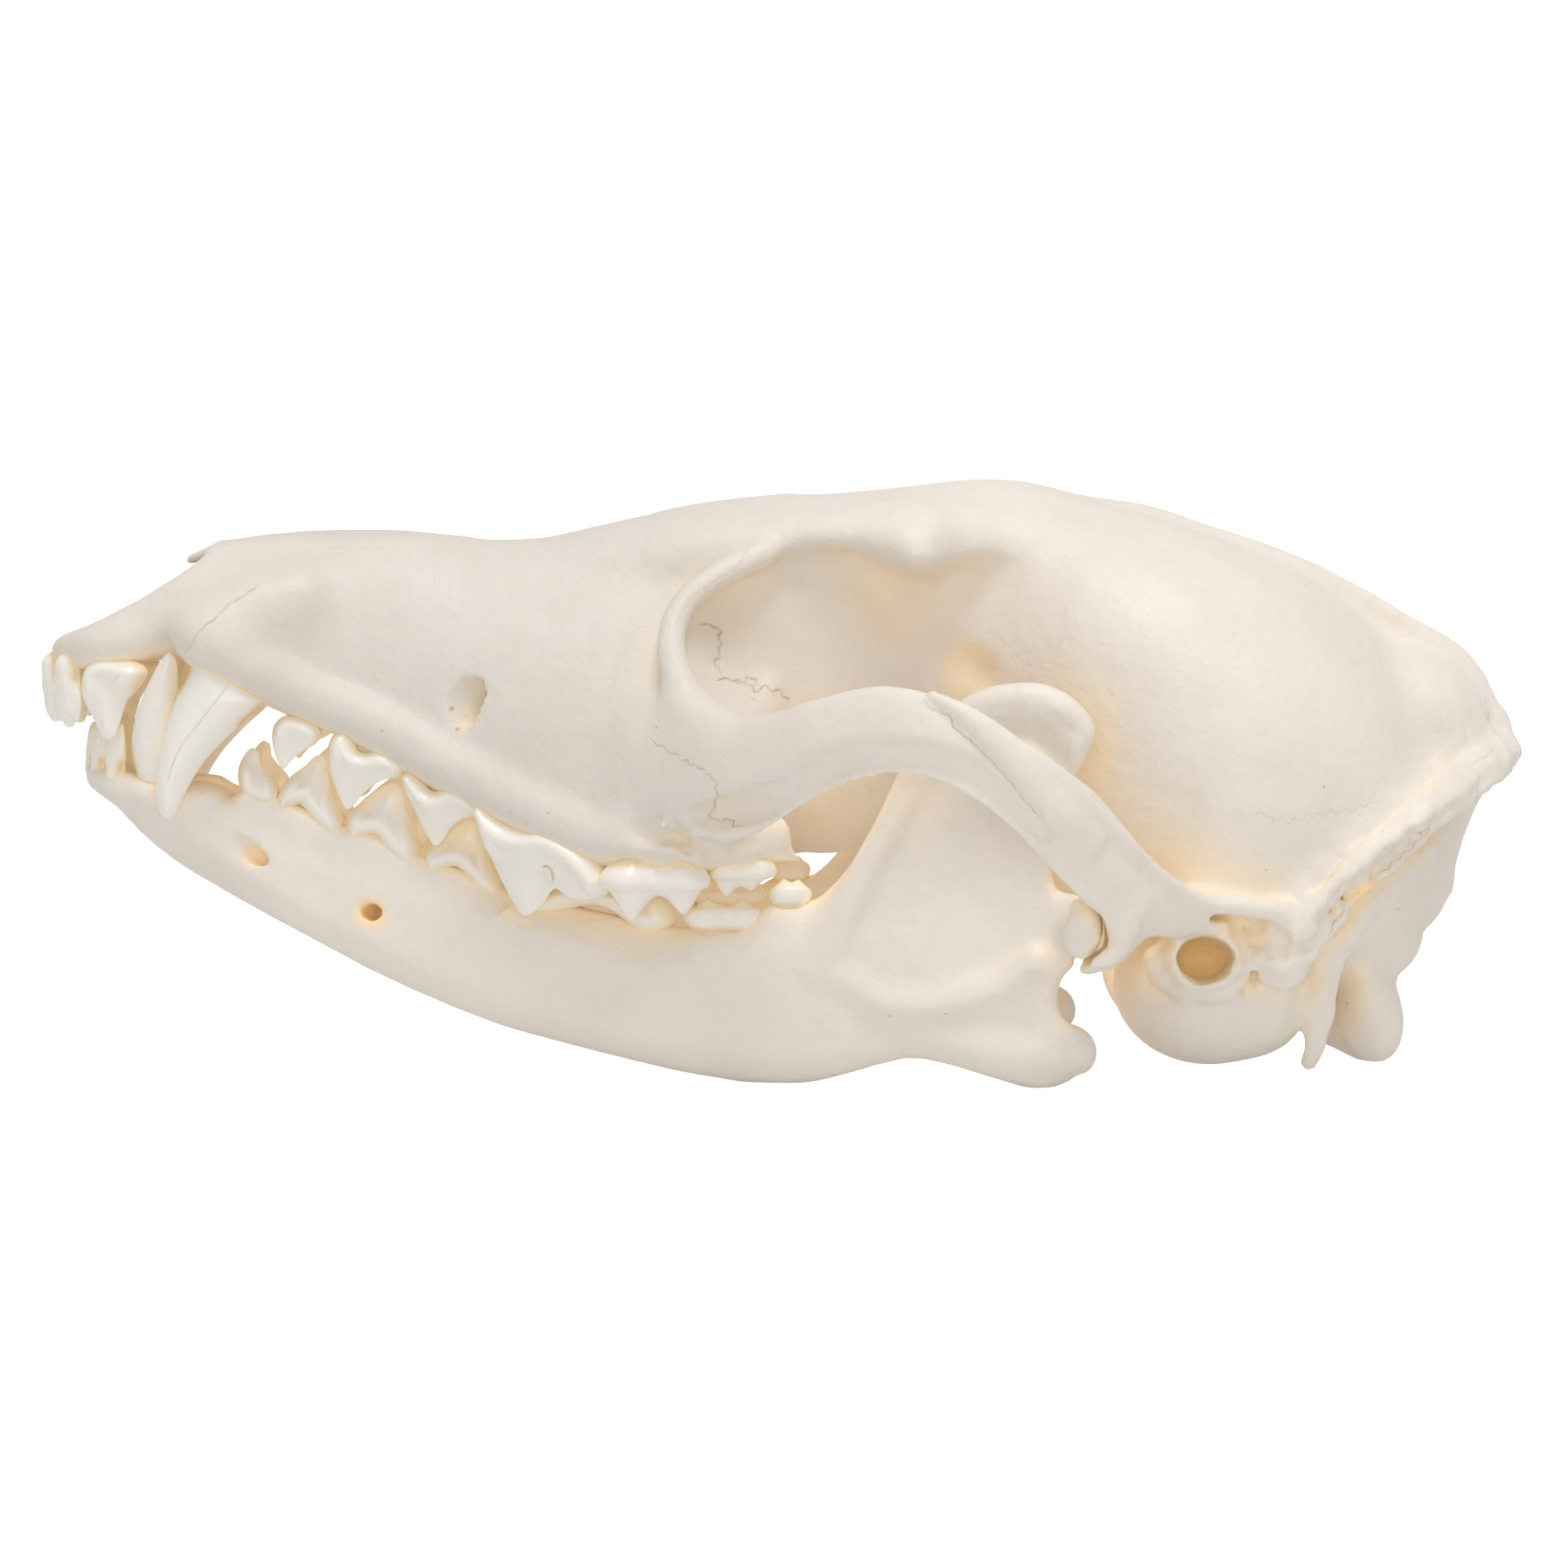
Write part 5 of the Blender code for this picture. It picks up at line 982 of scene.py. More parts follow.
def cranium(p):
    """The skull without its lower jaw, for points with y at least 0; negative inside the bone."""
    x, _, z = p.T
    f = loft(p, FACE)
    edge = curve(SNOUT_EDGE, x)[:, 0]
    f = carved(f, np.maximum((edge - z) * SNOUT_LEAN, x - SNOUT_BACK), 0.7)
    with_sweep(f, p, UPPER_SOCKETS, 1.6, samples=56)
    with_sweep(f, p, CANINE_BULGE, 4.0)
    with_egg(f, p, ORBIT, 2.0, cut=True)
    with_loft(f, p, WALL, 1.6)
    with_loft(f, p, ROOF, 3.0)
    with_loft(f, p, BRAINCASE, 4.0)
    with_sweep(f, p, ORBIT_GROOVE, 2.2, cut=True)
    with_sweep(f, p, ORBIT_RIM, 1.6)
    with_sweep(f, p, ARCH, 3.5, samples=60)
    with_sweep(f, p, ARCH_BEVEL, 0.4, cut=True, samples=60)
    with_sweep(f, p, ARCH_STEP, 0.5)
    with_sweep(f, p, ARCH_SPLIT, 0.3, cut=True)
    with_sweep(f, p, CHEEK_HOLLOW, 1.0, cut=True)
    with_sweep(f, p, ARCH_CREST, 0.8, samples=50)
    with_sweep(f, p, EAR_SHELF, 1.8)
    with_egg(f, p, OCCIPUT, 4.0)
    with_egg(f, p, CREST_ROOT, 3.0)
    with_sweep(f, p, OCCIPITAL_RIDGE, 2.5)
    with_sweep(f, p, NUCHAL, 3.0, up=NUCHAL_UP)
    crest = ring(CREST_LINE, 90)
    merge(f, p, lambda q: plate(q, crest, 0.0, CREST_HALF, CREST_ROUNDING), *CREST_BOX, 2.4)
    with_sweep(f, p, NUCHAL_GROOVE, 2.0, cut=True, up=NUCHAL_UP)
    with_sweep(f, p, NUCHAL_EDGE, 0.6, up=NUCHAL_UP, samples=60)
    with_sweep(f, p, NUCHAL_LIP, 0.8, up=NUCHAL_UP, samples=60)
    with_sweep(f, p, NUCHAL_FURROW, 0.5, cut=True, samples=60)
    with_sweep(f, p, OCCIPUT_FOLD, 1.6)
    with_sweep(f, p, AMBER_SLIT, 0.4, cut=True)
    with_egg(f, p, BULLA, 1.6)
    with_egg(f, p, BULLA_REAR, 1.6)
    with_sweep(f, p, EAR_TUBE, 1.2)
    with_egg(f, p, MASTOID, 1.8)
    with_sweep(f, p, PAROCCIPITAL, 2.0, up=(1, 0, 0))
    with_sweep(f, p, PAROCCIPITAL_WING, 0.8, up=(1, 0, 0))
    with_sweep(f, p, POSTGLENOID, 2.0)
    with_sweep(f, p, GLENOID_LIP, 1.4, up=(-0.35, 0, 0.94))
    with_egg(f, p, CONDYLE_ROOT, 2.0)
    with_egg(f, p, OCCIPITAL_CONDYLE, 1.4)
    with_sweep(f, p, SPINE_SILL, 2.4)
    with_sweep(f, p, TUBEROSITY, 1.2)
    with_loft(f, p, NASAL_HOLE, 0.6, cut=True)
    with_loft(f, p, NASALS, 0.8)
    with_loft(f, p, PALATE, 1.5, cut=True)
    with_loft(f, p, CHOANA, 1.5, cut=True)
    with_sweep(f, p, SPINE_HOLE, 1.0, cut=True)
    with_sweep(f, p, EAR_GROOVE, 1.0, cut=True)
    with_sweep(f, p, beads(27, EAR_SEED), 0.4, samples=160)
    with_sweep(f, p, EAR_CANAL, 0.5, cut=True)
    with_sweep(f, p, ear_lips(13), 0.4, samples=60)
    with_sweep(f, p, INFRAORBITAL_CANAL, 0.3, cut=True)
    with_egg(f, p, CANINE_NOTCH, 0.6, cut=True)
    merge(f, p, lambda q: sweep(q, CONDYLE) - JOINT_GAP, *JOINT_BOX, 0.6, cut=True)
    return roughened(f, p, SKULL_SEED, SKULL_RELIEF)


def jaw_half(p):
    """The right half of the lower jaw, kept clear of the skull and flat where it meets the floor."""
    middle, half, rounding = curve(JAW_BODY, p[:, 0]).T
    upright = np.clip((p[:, 0] - BRANCH_START) / BRANCH_LENGTH, 0, 1)
    middle = middle + BRANCH_LEAN * (p[:, 2] - BRANCH_MIDDLE) * upright
    f = plate(p, ring(JAW_LINE, 200), middle, half, rounding)
    with_sweep(f, p, LOWER_SOCKETS, 1.5)
    with_sweep(f, p, margin(LOWER_CROWNS, LOWER_GRINDERS, 0.2, 2.3), 1.2, samples=60)
    with_sweep(f, p, CONDYLE, 1.6)
    with_sweep(f, p, ANGLE, 2.0)
    with_egg(f, p, JAW_HOLLOW, 2.0, cut=True)
    with_egg(f, p, JAW_LOWER_HOLLOW, 1.5, cut=True)
    with_sweep(f, p, FOSSA_RIDGE, 2.0)
    with_sweep(f, p, FOSSA_FLOOR, 2.4)
    with_sweep(f, p, CORONOID_RIM, 0.7)
    with_sweep(f, p, CORONOID_HOLLOW, 0.8, cut=True)
    with_sweep(f, p, MENTAL_SLIT, 0.6, cut=True)
    with_sweep(f, p, MENTAL_HOLE, 0.4, cut=True)
    f = roughened(f, p, JAW_SEED, JAW_RELIEF)
    f = np.maximum(f, CHIN_GAP / 2 - p[:, 1])
    near = f < GAP_REACH
    if near.any():
        f[near] = np.maximum(f[near], JAW_GAP - cranium(p[near]))
    return np.maximum(f, -p[:, 2])


def margin(crowns, grinders, above, deep):
    """Rows of the bar of bone in which the lower teeth behind the canine stand: one at the front and
    one at the rear of each neck, above it by so much and with the half height deep."""
    rows = []
    for _, (x0, y0, x1, y1), neck0, neck1, _, half, *_ in crowns[4:]:
        for x, y, neck in ((x0 + 0.5, y0, neck0), (x1 - 0.5, y1, neck1)):
            rows.append((x, y, neck + (above - deep), half * 0.9, deep))
    for _, x, y, neck, _, plan, _ in grinders:
        long, half = np.max(plan, axis=0)
        for part in (-0.5, 0.5):
            rows.append((x + part * long, y, neck + (above - deep), half, deep))
    return rows


def skin(form, low, high, grain, halved):
    """Points and quads of the form's zero surface. The form is worked out on a rough grid first, and
    finely only near the surface; a halved form is then mirrored over y = 0."""
    low, high = np.asarray(low, float), np.asarray(high, float)
    step = grain * ROUGH_STEPS
    inset = (ROUGH_STEPS - 1) / 2 * grain
    if halved:
        low[1] = inset
    count = np.ceil((high - low) / step).astype(int) + 1
    axes = [low[i] + np.arange(count[i]) * step for i in range(3)]
    rough = form(np.stack(np.meshgrid(*axes, indexing="ij"), -1).reshape(-1, 3)).reshape(count)
    reach = step * 1.5
    fine = np.clip(rough, -reach, reach).astype(np.float32)
    for axis in range(3):
        fine = np.repeat(fine, ROUGH_STEPS, axis)
    start = low - inset
    near = np.abs(fine) < reach
    places = start + np.argwhere(near) * grain
    found = [form(places[i:i + BATCH]) for i in range(0, len(places), BATCH)]
    fine[near] = np.concatenate(found)
    if halved:
        start[1] = -(fine.shape[1] - 1) * grain
        fine = np.concatenate([fine[:, :0:-1], fine], axis=1)
    grid = openvdb.FloatGrid(background=float(reach))
    grid.copyFromArray(np.ascontiguousarray(fine))
    grid.transform = openvdb.createLinearTransform(voxelSize=grain)
    points, quads = grid.convertToQuads(isovalue=0.0)
    return points + start, quads


def directions(count):
    """Directions spread evenly over a sphere: a spiral with equal steps in height."""
    k = np.arange(count) + 0.5
    height = 1 - 2 * k / count
    turn = k * np.pi * (3 - 5**0.5)
    across = np.sqrt(1 - height**2)
    return np.stack([across * np.cos(turn), across * np.sin(turn), height], 1)


def occlusion(obj, tree, rays=18, reach=16.0, lift=0.25, lean=1.02, fade=0.7, rounds=3, own=0.4):
    """For each vertex, how much of what lies in front of it is bone or tooth, from 0 to 1. The rays
    start at the lift above the surface and lean towards its outer side; the value is their mean of
    1 - fade * distance / reach where they meet something, evened out along the edges in rounds that
    keep the own share."""
    mesh = obj.data
    count = len(mesh.vertices)
    p, n = np.empty(count * 3), np.empty(count * 3)
    mesh.vertices.foreach_get("co", p)
    mesh.vertices.foreach_get("normal", n)
    p, n = p.reshape(-1, 3), n.reshape(-1, 3)
    starts = p + n * lift * MM
    spread = directions(rays)
    total = np.zeros(count)
    for i in range(count):
        start = Vector(starts[i].tolist())
        for way in (spread + n[i] * lean).tolist():
            hit = tree.ray_cast(start, Vector(way).normalized(), reach * MM)[3]
            if hit is not None:
                total[i] += 1 - fade * hit / (reach * MM)
    value = total / rays
    edges = np.empty(len(mesh.edges) * 2, int)
    mesh.edges.foreach_get("vertices", edges)
    a, b = edges.reshape(-1, 2).T
    links = np.bincount(a, minlength=count) + np.bincount(b, minlength=count)
    for _ in range(rounds):
        around = np.bincount(a, value[b], count) + np.bincount(b, value[a], count)
        value = own * value + (1 - own) * around / links
    return value


def amber_shade(p, spots):
    """For each point, the strongest of the spots of painted amber shade on its side: strength
    exp(-(distance / radius)^4).
    """
    total = np.zeros(len(p))
    q = np.stack([p[:, 0], np.abs(p[:, 1]), p[:, 2]], 1)
    for x, y, z, radius, strength in spots:
        square = ((q - (x, y, z)) ** 2).sum(1) / radius**2
        total = np.maximum(total, strength * np.exp(-square**2))
    return total


def piece(name, points, faces, material, slot):
    """An object from points in millimetres, riding on the skull."""
    mesh = bpy.data.meshes.new(name)
    mesh.from_pydata((np.asarray(points) * MM).tolist(), [], [list(map(int, face)) for face in faces])
    mesh.materials.append(material)
    mesh.shade_smooth()
    obj = bpy.data.objects.new(name, mesh)
    bpy.context.scene.collection.objects.link(obj)
    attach(obj, "root")
    return obj


def thinned(obj, triangles):
    """The object's mesh brought to about so many triangles, most of them left where it bends most."""
    obj.data.calc_loop_triangles()
    modifier = obj.modifiers.new("thin", "DECIMATE")
    modifier.ratio = min(1.0, triangles / len(obj.data.loop_triangles))
    modifier.use_collapse_triangulate = True
    bpy.context.view_layer.update()
    done = bpy.data.meshes.new_from_object(obj.evaluated_get(bpy.context.evaluated_depsgraph_get()))
    obj.modifiers.clear()
    obj.data = done
    return obj


def attribute(obj, name, values):
    """A number for each vertex, for the materials to read."""
    data = obj.data.attributes.new(name, "FLOAT", "POINT")
    data.data.foreach_set("value", np.asarray(values, np.float32))


def vertices(obj):
    """The object's points in millimetres."""
    p = np.empty(len(obj.data.vertices) * 3)
    obj.data.vertices.foreach_get("co", p)
    return p.reshape(-1, 3) / MM


def stack(layers, first, last):
    """Points and faces over rows of equal rings, closed by a fan at each end."""
    points = np.vstack([first[None], *layers, last[None]])
    n, m = len(layers[0]), len(layers)
    k = np.arange(n)
    ahead = (k + 1) % n
    base = 1 + np.arange(m - 1)[:, None] * n
    quads = np.stack([base + k, base + n + k, base + n + ahead, base + ahead], -1).reshape(-1, 4)
    top = np.stack([np.zeros(n, int), 1 + k, 1 + ahead], 1)
    end = 1 + (m - 1) * n
    bottom = np.stack([np.full(n, len(points) - 1), end + ahead, end + k], 1)
    return points, top.tolist() + quads.tolist() + bottom.tolist()


def turned_out(points, faces):
    """The faces, turned round if their signed volume is negative."""
    volume = 0.0
    for size in (3, 4):
        some = np.array([face for face in faces if len(face) == size])
        if not len(some):
            continue
        for i in range(1, size - 1):
            a, b, c = points[some[:, 0]], points[some[:, i]], points[some[:, i + 1]]
            volume += np.einsum("ij,ij->", a, np.cross(b, c))
    return faces if volume > 0 else [face[::-1] for face in faces]


def distance(q, line, kept):
    """Distance of each point to the kept segments of a closed line."""
    start, step = line[kept], (np.roll(line, -1, axis=0) - line)[kept]
    o = q[:, None] - start
    t = np.clip((o * step).sum(2) / ((step**2).sum(1) + 1e-12), 0, 1)
    return np.sqrt(((o - t[..., None] * step) ** 2).sum(2).min(1))


def crown(row, sides=100, rings=20):
    """Crown over its side outline. With u round the outline and r from its heart to its rim, a point
    lies at heart + r (outline(u) - heart) in the tooth's plane, and stands out of it on both sides
    by 1.2 half * (dome(d) * thin(h) + belt * step(e)) * rim(d): d and e are its distances to the
    whole outline and to the neck's part of it, and h is its share of the height from neck to tip.
    dome rises from 0.42 to 1 as 1 - exp(-d / 1.6), thin falls by 0.3 h, step is a tanh at the belt's
    width, and rim a quarter circle. A carnassial's swell has a notch, a bell across and growing
    towards the tip. The tooth leans outwards by lean * h^1.4.
    Returns points, faces, and for each point 0 on the neck's rim to 1 where the enamel is white."""
    name, (x0, y0, x1, y1), neck0, neck1, tip, half, lean, heart, outline, belt = row
    along = np.array([x1 - x0, y1 - y0])
    long = np.linalg.norm(along)
    across = np.array([-along[1], along[0]]) / long
    if outline == "nipper":
        share = np.array(NIPPER)
        neck = neck0 + (neck1 - neck0) * share[:, 0]
        line = ring(np.stack([share[:, 0] * long, neck + (tip - neck) * share[:, 1]], 1), sides)
        heart = np.array([0.5 * long, neck0 + NIPPER_HEART * (tip - neck0)])
    else:
        line = (ring(outline, sides) - [x0, 0]) * [long / (x1 - x0), 1]
        heart = (np.array(heart) - [x0, 0]) * [long / (x1 - x0), 1]

    def height(q):
        neck = neck0 + (neck1 - neck0) * q[:, 0] / long
        return (q[:, 1] - neck) / (tip - neck)

    at_neck = height(line) < NECK_SHARE
    rounding = min(RIM_ROUNDING, RIM_SHARE * long)
    belt_width = LONG_BELT if long > LONG_TOOTH else SHORT_BELT
    if name == "carnassial":
        belt_width = CARNASSIAL_BELT

    def layer(r, side):
        q = heart + (line - heart) * r
        h = np.clip(height(q), 0, 1)
        d, e = distance(q, line, np.full(sides, True)), distance(q, line, at_neck)
        dome = 0.42 + 0.58 * (1 - np.exp(-d / 1.6))
        swell = dome * (0.88 - 0.4 * belt - 0.3 * h)
        if name == "carnassial":
            notch = UPPER_NOTCH if tip < neck0 else LOWER_NOTCH
            from_notch = (x0 + q[:, 0] * along[0] / long - notch) / NOTCH_HALF
            deeper = np.clip((h - NOTCH_START) / NOTCH_RISE, 0, 1)
            swell = swell * (1 - NOTCH_DEPTH * np.exp(-(from_notch**2)) * deeper)
        roll = belt * (0.5 - 0.5 * np.tanh((e - belt_width) / BELT_SOFTNESS))
        rim = np.sqrt(1 - (1 - np.clip(d / rounding, 0, 1)) ** 2)
        out = side * half * CROWN_SWELL * (swell + roll) * rim
        xy = np.array([x0, y0]) + q[:, :1] * along / long + out[:, None] * across
        y = xy[:, 1] + lean * h**1.4
        return np.stack([xy[:, 0], y, q[:, 1]], 1), np.clip(e / CREAM_HEIGHT, 0, 1)

    shares = 1 - (1 - np.arange(1, rings + 1) / rings) ** 2
    found = [layer(r, 1) for r in shares] + [layer(r, -1) for r in shares[-2::-1]]
    first, last = layer(0.0, 1), layer(0.0, -1)
    points, faces = stack([p for p, _ in found], first[0][0], last[0][0])
    heights = np.concatenate([first[1][:1], *[h for _, h in found], last[1][:1]])
    return points, turned_out(points, faces), heights


def grinder(row, way, sides=76, rings=18):
    """Crown over its plan outline. With u round the outline and r from the centre to the rim, the
    chewing face has the height (0.66 + 0.14 tanh(y / 2)) of the crown, so that it stands highest along
    the cheek, plus (1 - r^5) times a bell for each cusp. Below the rim it follows the side's table."""
    _, x0, y0, neck, height, plan, cusps = row
    line = ring(plan, sides)

    def top(xy, r):
        bumps = [h * np.exp(-((((xy - (a, b)) ** 2).sum(1) / w**2) ** 0.9)) for a, b, h, w in cusps]
        return height * (0.66 + 0.14 * np.tanh(xy[:, 1] / 2)) + sum(bumps) * (1 - r**5)

    centre = top(np.zeros((1, 2)), 0.0)[0]
    layers, heights = [], []
    for r in np.linspace(0, 1, rings + 1)[1:]:
        xy = line * r * 0.9
        z = top(xy, r) - height * 0.05 * r**6
        layers.append(np.column_stack([xy, z]))
        heights.append(np.ones(sides))
    rim = layers[-1][:, 2]
    for scale, level in GRINDER_SIDE:
        layers.append(np.column_stack([line * scale, rim * level]))
        heights.append(np.full(sides, min(1.0, max(0.0, 6 * level))))
    layers.append(np.column_stack([line * 0.7, np.full(sides, -0.6 * height)]))
    heights.append(np.zeros(sides))
    points, faces = stack(layers, np.array([0.0, 0.0, centre]), np.array([0.0, 0.0, -0.8 * height]))
    points = points * [1, 1, way] + [x0, y0, neck]
    return points, turned_out(points, faces), np.concatenate([[1.0], *heights, [0.0]])


def tree_of(objects):
    """The triangles of the objects, ready for rays."""
    points, faces, base = [], [], 0
    for obj in objects:
        p = vertices(obj) * MM
        points += p.tolist()
        faces += [[i + base for i in face.vertices] for face in obj.data.polygons]
        base += len(p)
    return BVHTree.FromPolygons(points, faces)


def camera_axes():
    """The directions back from the skull to the camera and up in its picture, for its elevation e:
    (0, -cos e, sin e) and (0, sin e, cos e)."""
    e = np.radians(CAMERA_ELEVATION)
    return Vector((0, -np.cos(e), np.sin(e))), Vector((0, np.sin(e), np.cos(e)))


def seam(tree, pixels, width, jag, depth, seed):
    """A fine raised line on the bone: a flat tube with six sides round a path. The path is the line
    through the photograph's pixels with a zigzag across it of the jag in millimetres, cast from the
    camera onto the surface. A point of the tube is path + width cos(t) side + 0.3 width sin(t)
    normal, thinner towards both ends."""
    random = np.random.default_rng(seed)
    line = np.asarray(pixels, float)
    at = np.concatenate([[0], np.cumsum(np.linalg.norm(np.diff(line, axis=0), axis=1))])
    count = max(int(at[-1] / SEAM_STEP), 3)
    where = np.linspace(0, at[-1], count)
    line = curve(np.hstack([at[:, None], line]), where)
    along = np.gradient(line, axis=0)
    along /= np.linalg.norm(along, axis=1)[:, None] + 1e-9
    turns = np.cumsum(random.uniform(*SEAM_TURNS, count * 2))
    swings = random.uniform(0.4, 1.0, count * 2) * np.where(np.arange(count * 2) % 2, 1, -1)
    zigzag = np.interp(where, turns, swings)
    line += np.stack([-along[:, 1], along[:, 0]], 1) * (zigzag * jag / PIXEL_MM)[:, None]
    back, up = camera_axes()
    eye = (Vector(CAMERA_TARGET) + back * CAMERA_DISTANCE) * MM
    half = PHOTO_PIXELS / 2
    path, normals = [], []
    for x, y in line:
        way = up * ((half - y) * PIXEL_MM) - back * CAMERA_DISTANCE
        way.x += (x - half) * PIXEL_MM
        place, normal, _, _ = tree.ray_cast(eye, way.normalized())
        if place is not None and (not path or (place / MM - path[-1]).length < SEAM_JUMP):
            path.append(place / MM)
            normals.append(normal)
    path, normals = np.array([list(v) for v in path]), np.array([list(v) for v in normals])
    for _ in range(3):
        normals[1:-1] = normals[1:-1] * 0.4 + (normals[:-2] + normals[2:]) * 0.3
    normals /= np.linalg.norm(normals, axis=1)[:, None]
    ahead = np.gradient(path, axis=0)
    side = np.cross(ahead, normals)
    side /= np.linalg.norm(side, axis=1)[:, None] + 1e-9
    share = np.linspace(0, 1, len(path))
    taper = np.clip(np.minimum(share, 1 - share) * 8 + 0.25, 0, 1)
    thick = width * taper * random.uniform(0.75, 1.1, len(path))
    t = np.arange(6) * np.pi / 3
    layers = []
    for centre, a, b, w in zip(path, side, normals, thick):
        layers.append(centre + w * np.cos(t)[:, None] * a + 0.3 * w * np.sin(t)[:, None] * b)
    points, faces = stack(layers, path[0], path[-1])
    depths = np.repeat(depth * random.uniform(0.6, 1.0, len(path)), len(t))
    values = np.concatenate([[depth], depths, [depth]])
    return points, turned_out(points, faces), values


def heap(parts):
    """Several surfaces as one: points, faces and values."""
    points, faces, values, base = [], [], [], 0
    for p, f, v in parts:
        points.append(p)
        faces += [[i + base for i in face] for face in f]
        values.append(v)
        base += len(p)
    return np.vstack(points), faces, np.concatenate(values)


def mirrored(points, faces):
    """The same surface on the other side of the skull."""
    return points * [1, -1, 1], [face[::-1] for face in faces]


def shader_tree(name):
    """A new node material, its shader, and short ways to add and to link nodes."""
    material = bpy.data.materials.new(name)
    material.use_nodes = True
    tree = material.node_tree
    shader = tree.nodes["Principled BSDF"]

    def add(kind, **settings):
        node = tree.nodes.new(kind)
        for key, value in settings.items():
            if key in node.inputs:
                node.inputs[key].default_value = value
            else:
                setattr(node, key, value)
        return node

    def link(a, b):
        tree.links.new(a, b)

    return material, shader, add, link


def ramp(add, link, source, stops):
    """Colours along a value."""
    node = add("ShaderNodeValToRGB")
    band = node.color_ramp
    while len(band.elements) < len(stops):
        band.elements.new(0.5)
    for element, (at, colour) in zip(band.elements, stops):
        element.position = at
        element.color = (*colour, 1.0)
    link(source, node.inputs["Fac"])
    return node.outputs["Color"]


def mixed(add, link, share, a, b, way="MIX"):
    """Two colours mixed by a value."""
    node = add("ShaderNodeMix", data_type="RGBA", blend_type=way)
    if isinstance(share, float):
        node.inputs[0].default_value = share
    else:
        link(share, node.inputs[0])
    for colour, socket in ((a, node.inputs[6]), (b, node.inputs[7])):
        if isinstance(colour, tuple):
            socket.default_value = (*colour, 1.0)
        else:
            link(colour, socket)
    return node.outputs[2]


def grey(level):
    """The colour with the same level in red, green and blue."""
    return (level, level, level)


def noise(add, link, **settings):
    """Cloudy noise over the object's own places."""
    node = add("ShaderNodeTexNoise", **settings)
    link(add("ShaderNodeTexCoord").outputs["Object"], node.inputs["Vector"])
    return node.outputs["Fac"]


def stored(add, name):
    """The number that the vertices carry under the name."""
    return add("ShaderNodeAttribute", attribute_name=name).outputs["Fac"]


def relief(add, link, shader, height, strength, depth):
    """Fine relief by a value, with its depth in metres."""
    node = add("ShaderNodeBump", Strength=strength, Distance=depth)
    link(height, node.inputs["Height"])
    link(node.outputs["Normal"], shader.inputs["Normal"])


def glow_inside(shader, radius, depth):
    """Light that goes a little way in: shares of the depth in metres for red, green and blue."""
    shader.inputs["Subsurface Weight"].default_value = LIGHT_SHARE
    shader.inputs["Subsurface Radius"].default_value = radius
    shader.inputs["Subsurface Scale"].default_value = depth


def bone_material(name, shade_warmth, nose_shade, face_shade):
    """Dry bone: ivory with faint cloudy patches, with painted shade that makes it a little darker
    towards the face, painted shade and warm bounce light that turn it cream in the hollows, and
    painted amber shade in the deep holes and recesses."""
    material, shader, add, link = shader_tree(name)
    clouds = noise(add, link, Scale=55.0, Detail=4.0, Roughness=0.55)
    colour = ramp(add, link, clouds, [
        (0.32, (0.72, 0.66, 0.595)), (0.5, (0.75, 0.70, 0.64)), (0.7, (0.77, 0.725, 0.67))])
    patches = noise(add, link, Scale=170.0, Detail=3.0)
    patch = ramp(add, link, patches, [(0.45, grey(0)), (0.75, grey(0.35))])
    colour = mixed(add, link, patch, colour, (0.72, 0.65, 0.585))
    # Painted shade and warm bounce light: cream where the rays find bone or tooth close by
    recess_shade = ramp(add, link, stored(add, "recess_shade"), [(0.08, grey(0)), (0.35, grey(0.6)), (0.65, grey(1))])
    colour = mixed(add, link, recess_shade, colour, (0.95 + shade_warmth, 0.81, 0.60))
    # Painted shade over the face: the colour is multiplied by a tone, darkest from the snout's middle to the
    # cheek teeth
    apart = add("ShaderNodeSeparateXYZ")
    link(add("ShaderNodeTexCoord").outputs["Object"], apart.inputs["Vector"])
    back = add("ShaderNodeMapRange")
    back.inputs["From Min"].default_value, back.inputs["From Max"].default_value = FACE_SHADE_ENDS
    link(apart.outputs["X"], back.inputs["Value"])
    face_shading = ramp(add, link, back.outputs["Result"], [
        (0.0, nose_shade), (0.3, face_shade), (0.58, face_shade), (1.0, grey(1.0))])
    colour = mixed(add, link, 1.0, colour, face_shading, "MULTIPLY")
    # Painted amber shade in the deep holes and recesses
    colour = mixed(add, link, stored(add, "amber_shade"), colour, (1.0, 0.70, 0.32))
    flecks = noise(add, link, Scale=1500.0, Detail=2.0)
    fleck = ramp(add, link, flecks, [(0.30, grey(0.25)), (0.42, grey(0))])
    colour = mixed(add, link, fleck, colour, (0.74, 0.64, 0.50))
    link(colour, shader.inputs["Base Color"])
    gloss = ramp(add, link, patches, [(0.3, grey(0.42)), (0.7, grey(0.56))])
    link(gloss, shader.inputs["Roughness"])
    relief(add, link, shader, noise(add, link, Scale=420.0, Detail=5.0, Roughness=0.6), 0.4, 0.0007)
    glow_inside(shader, (1.0, 0.7, 0.45), 0.001)
    shader.inputs["Specular IOR Level"].default_value = 0.4
    return material


def seam_and_shade_material():
    """The line between two bones: tan, paler where the seam has closed. The same dark tan on the pores
    and on the carnassial's slit is painted shade.
    """
    material, shader, add, link = shader_tree("seam_and_shade_marks")
    speckle = noise(add, link, Scale=900.0, Detail=2.0)
    deep = ramp(add, link, speckle, [(0.35, (0.50, 0.36, 0.22)), (0.65, (0.64, 0.51, 0.36))])
    colour = mixed(add, link, stored(add, "depth"), (0.80, 0.74, 0.67), deep)
    link(colour, shader.inputs["Base Color"])
    shader.inputs["Roughness"].default_value = 0.7
    return material


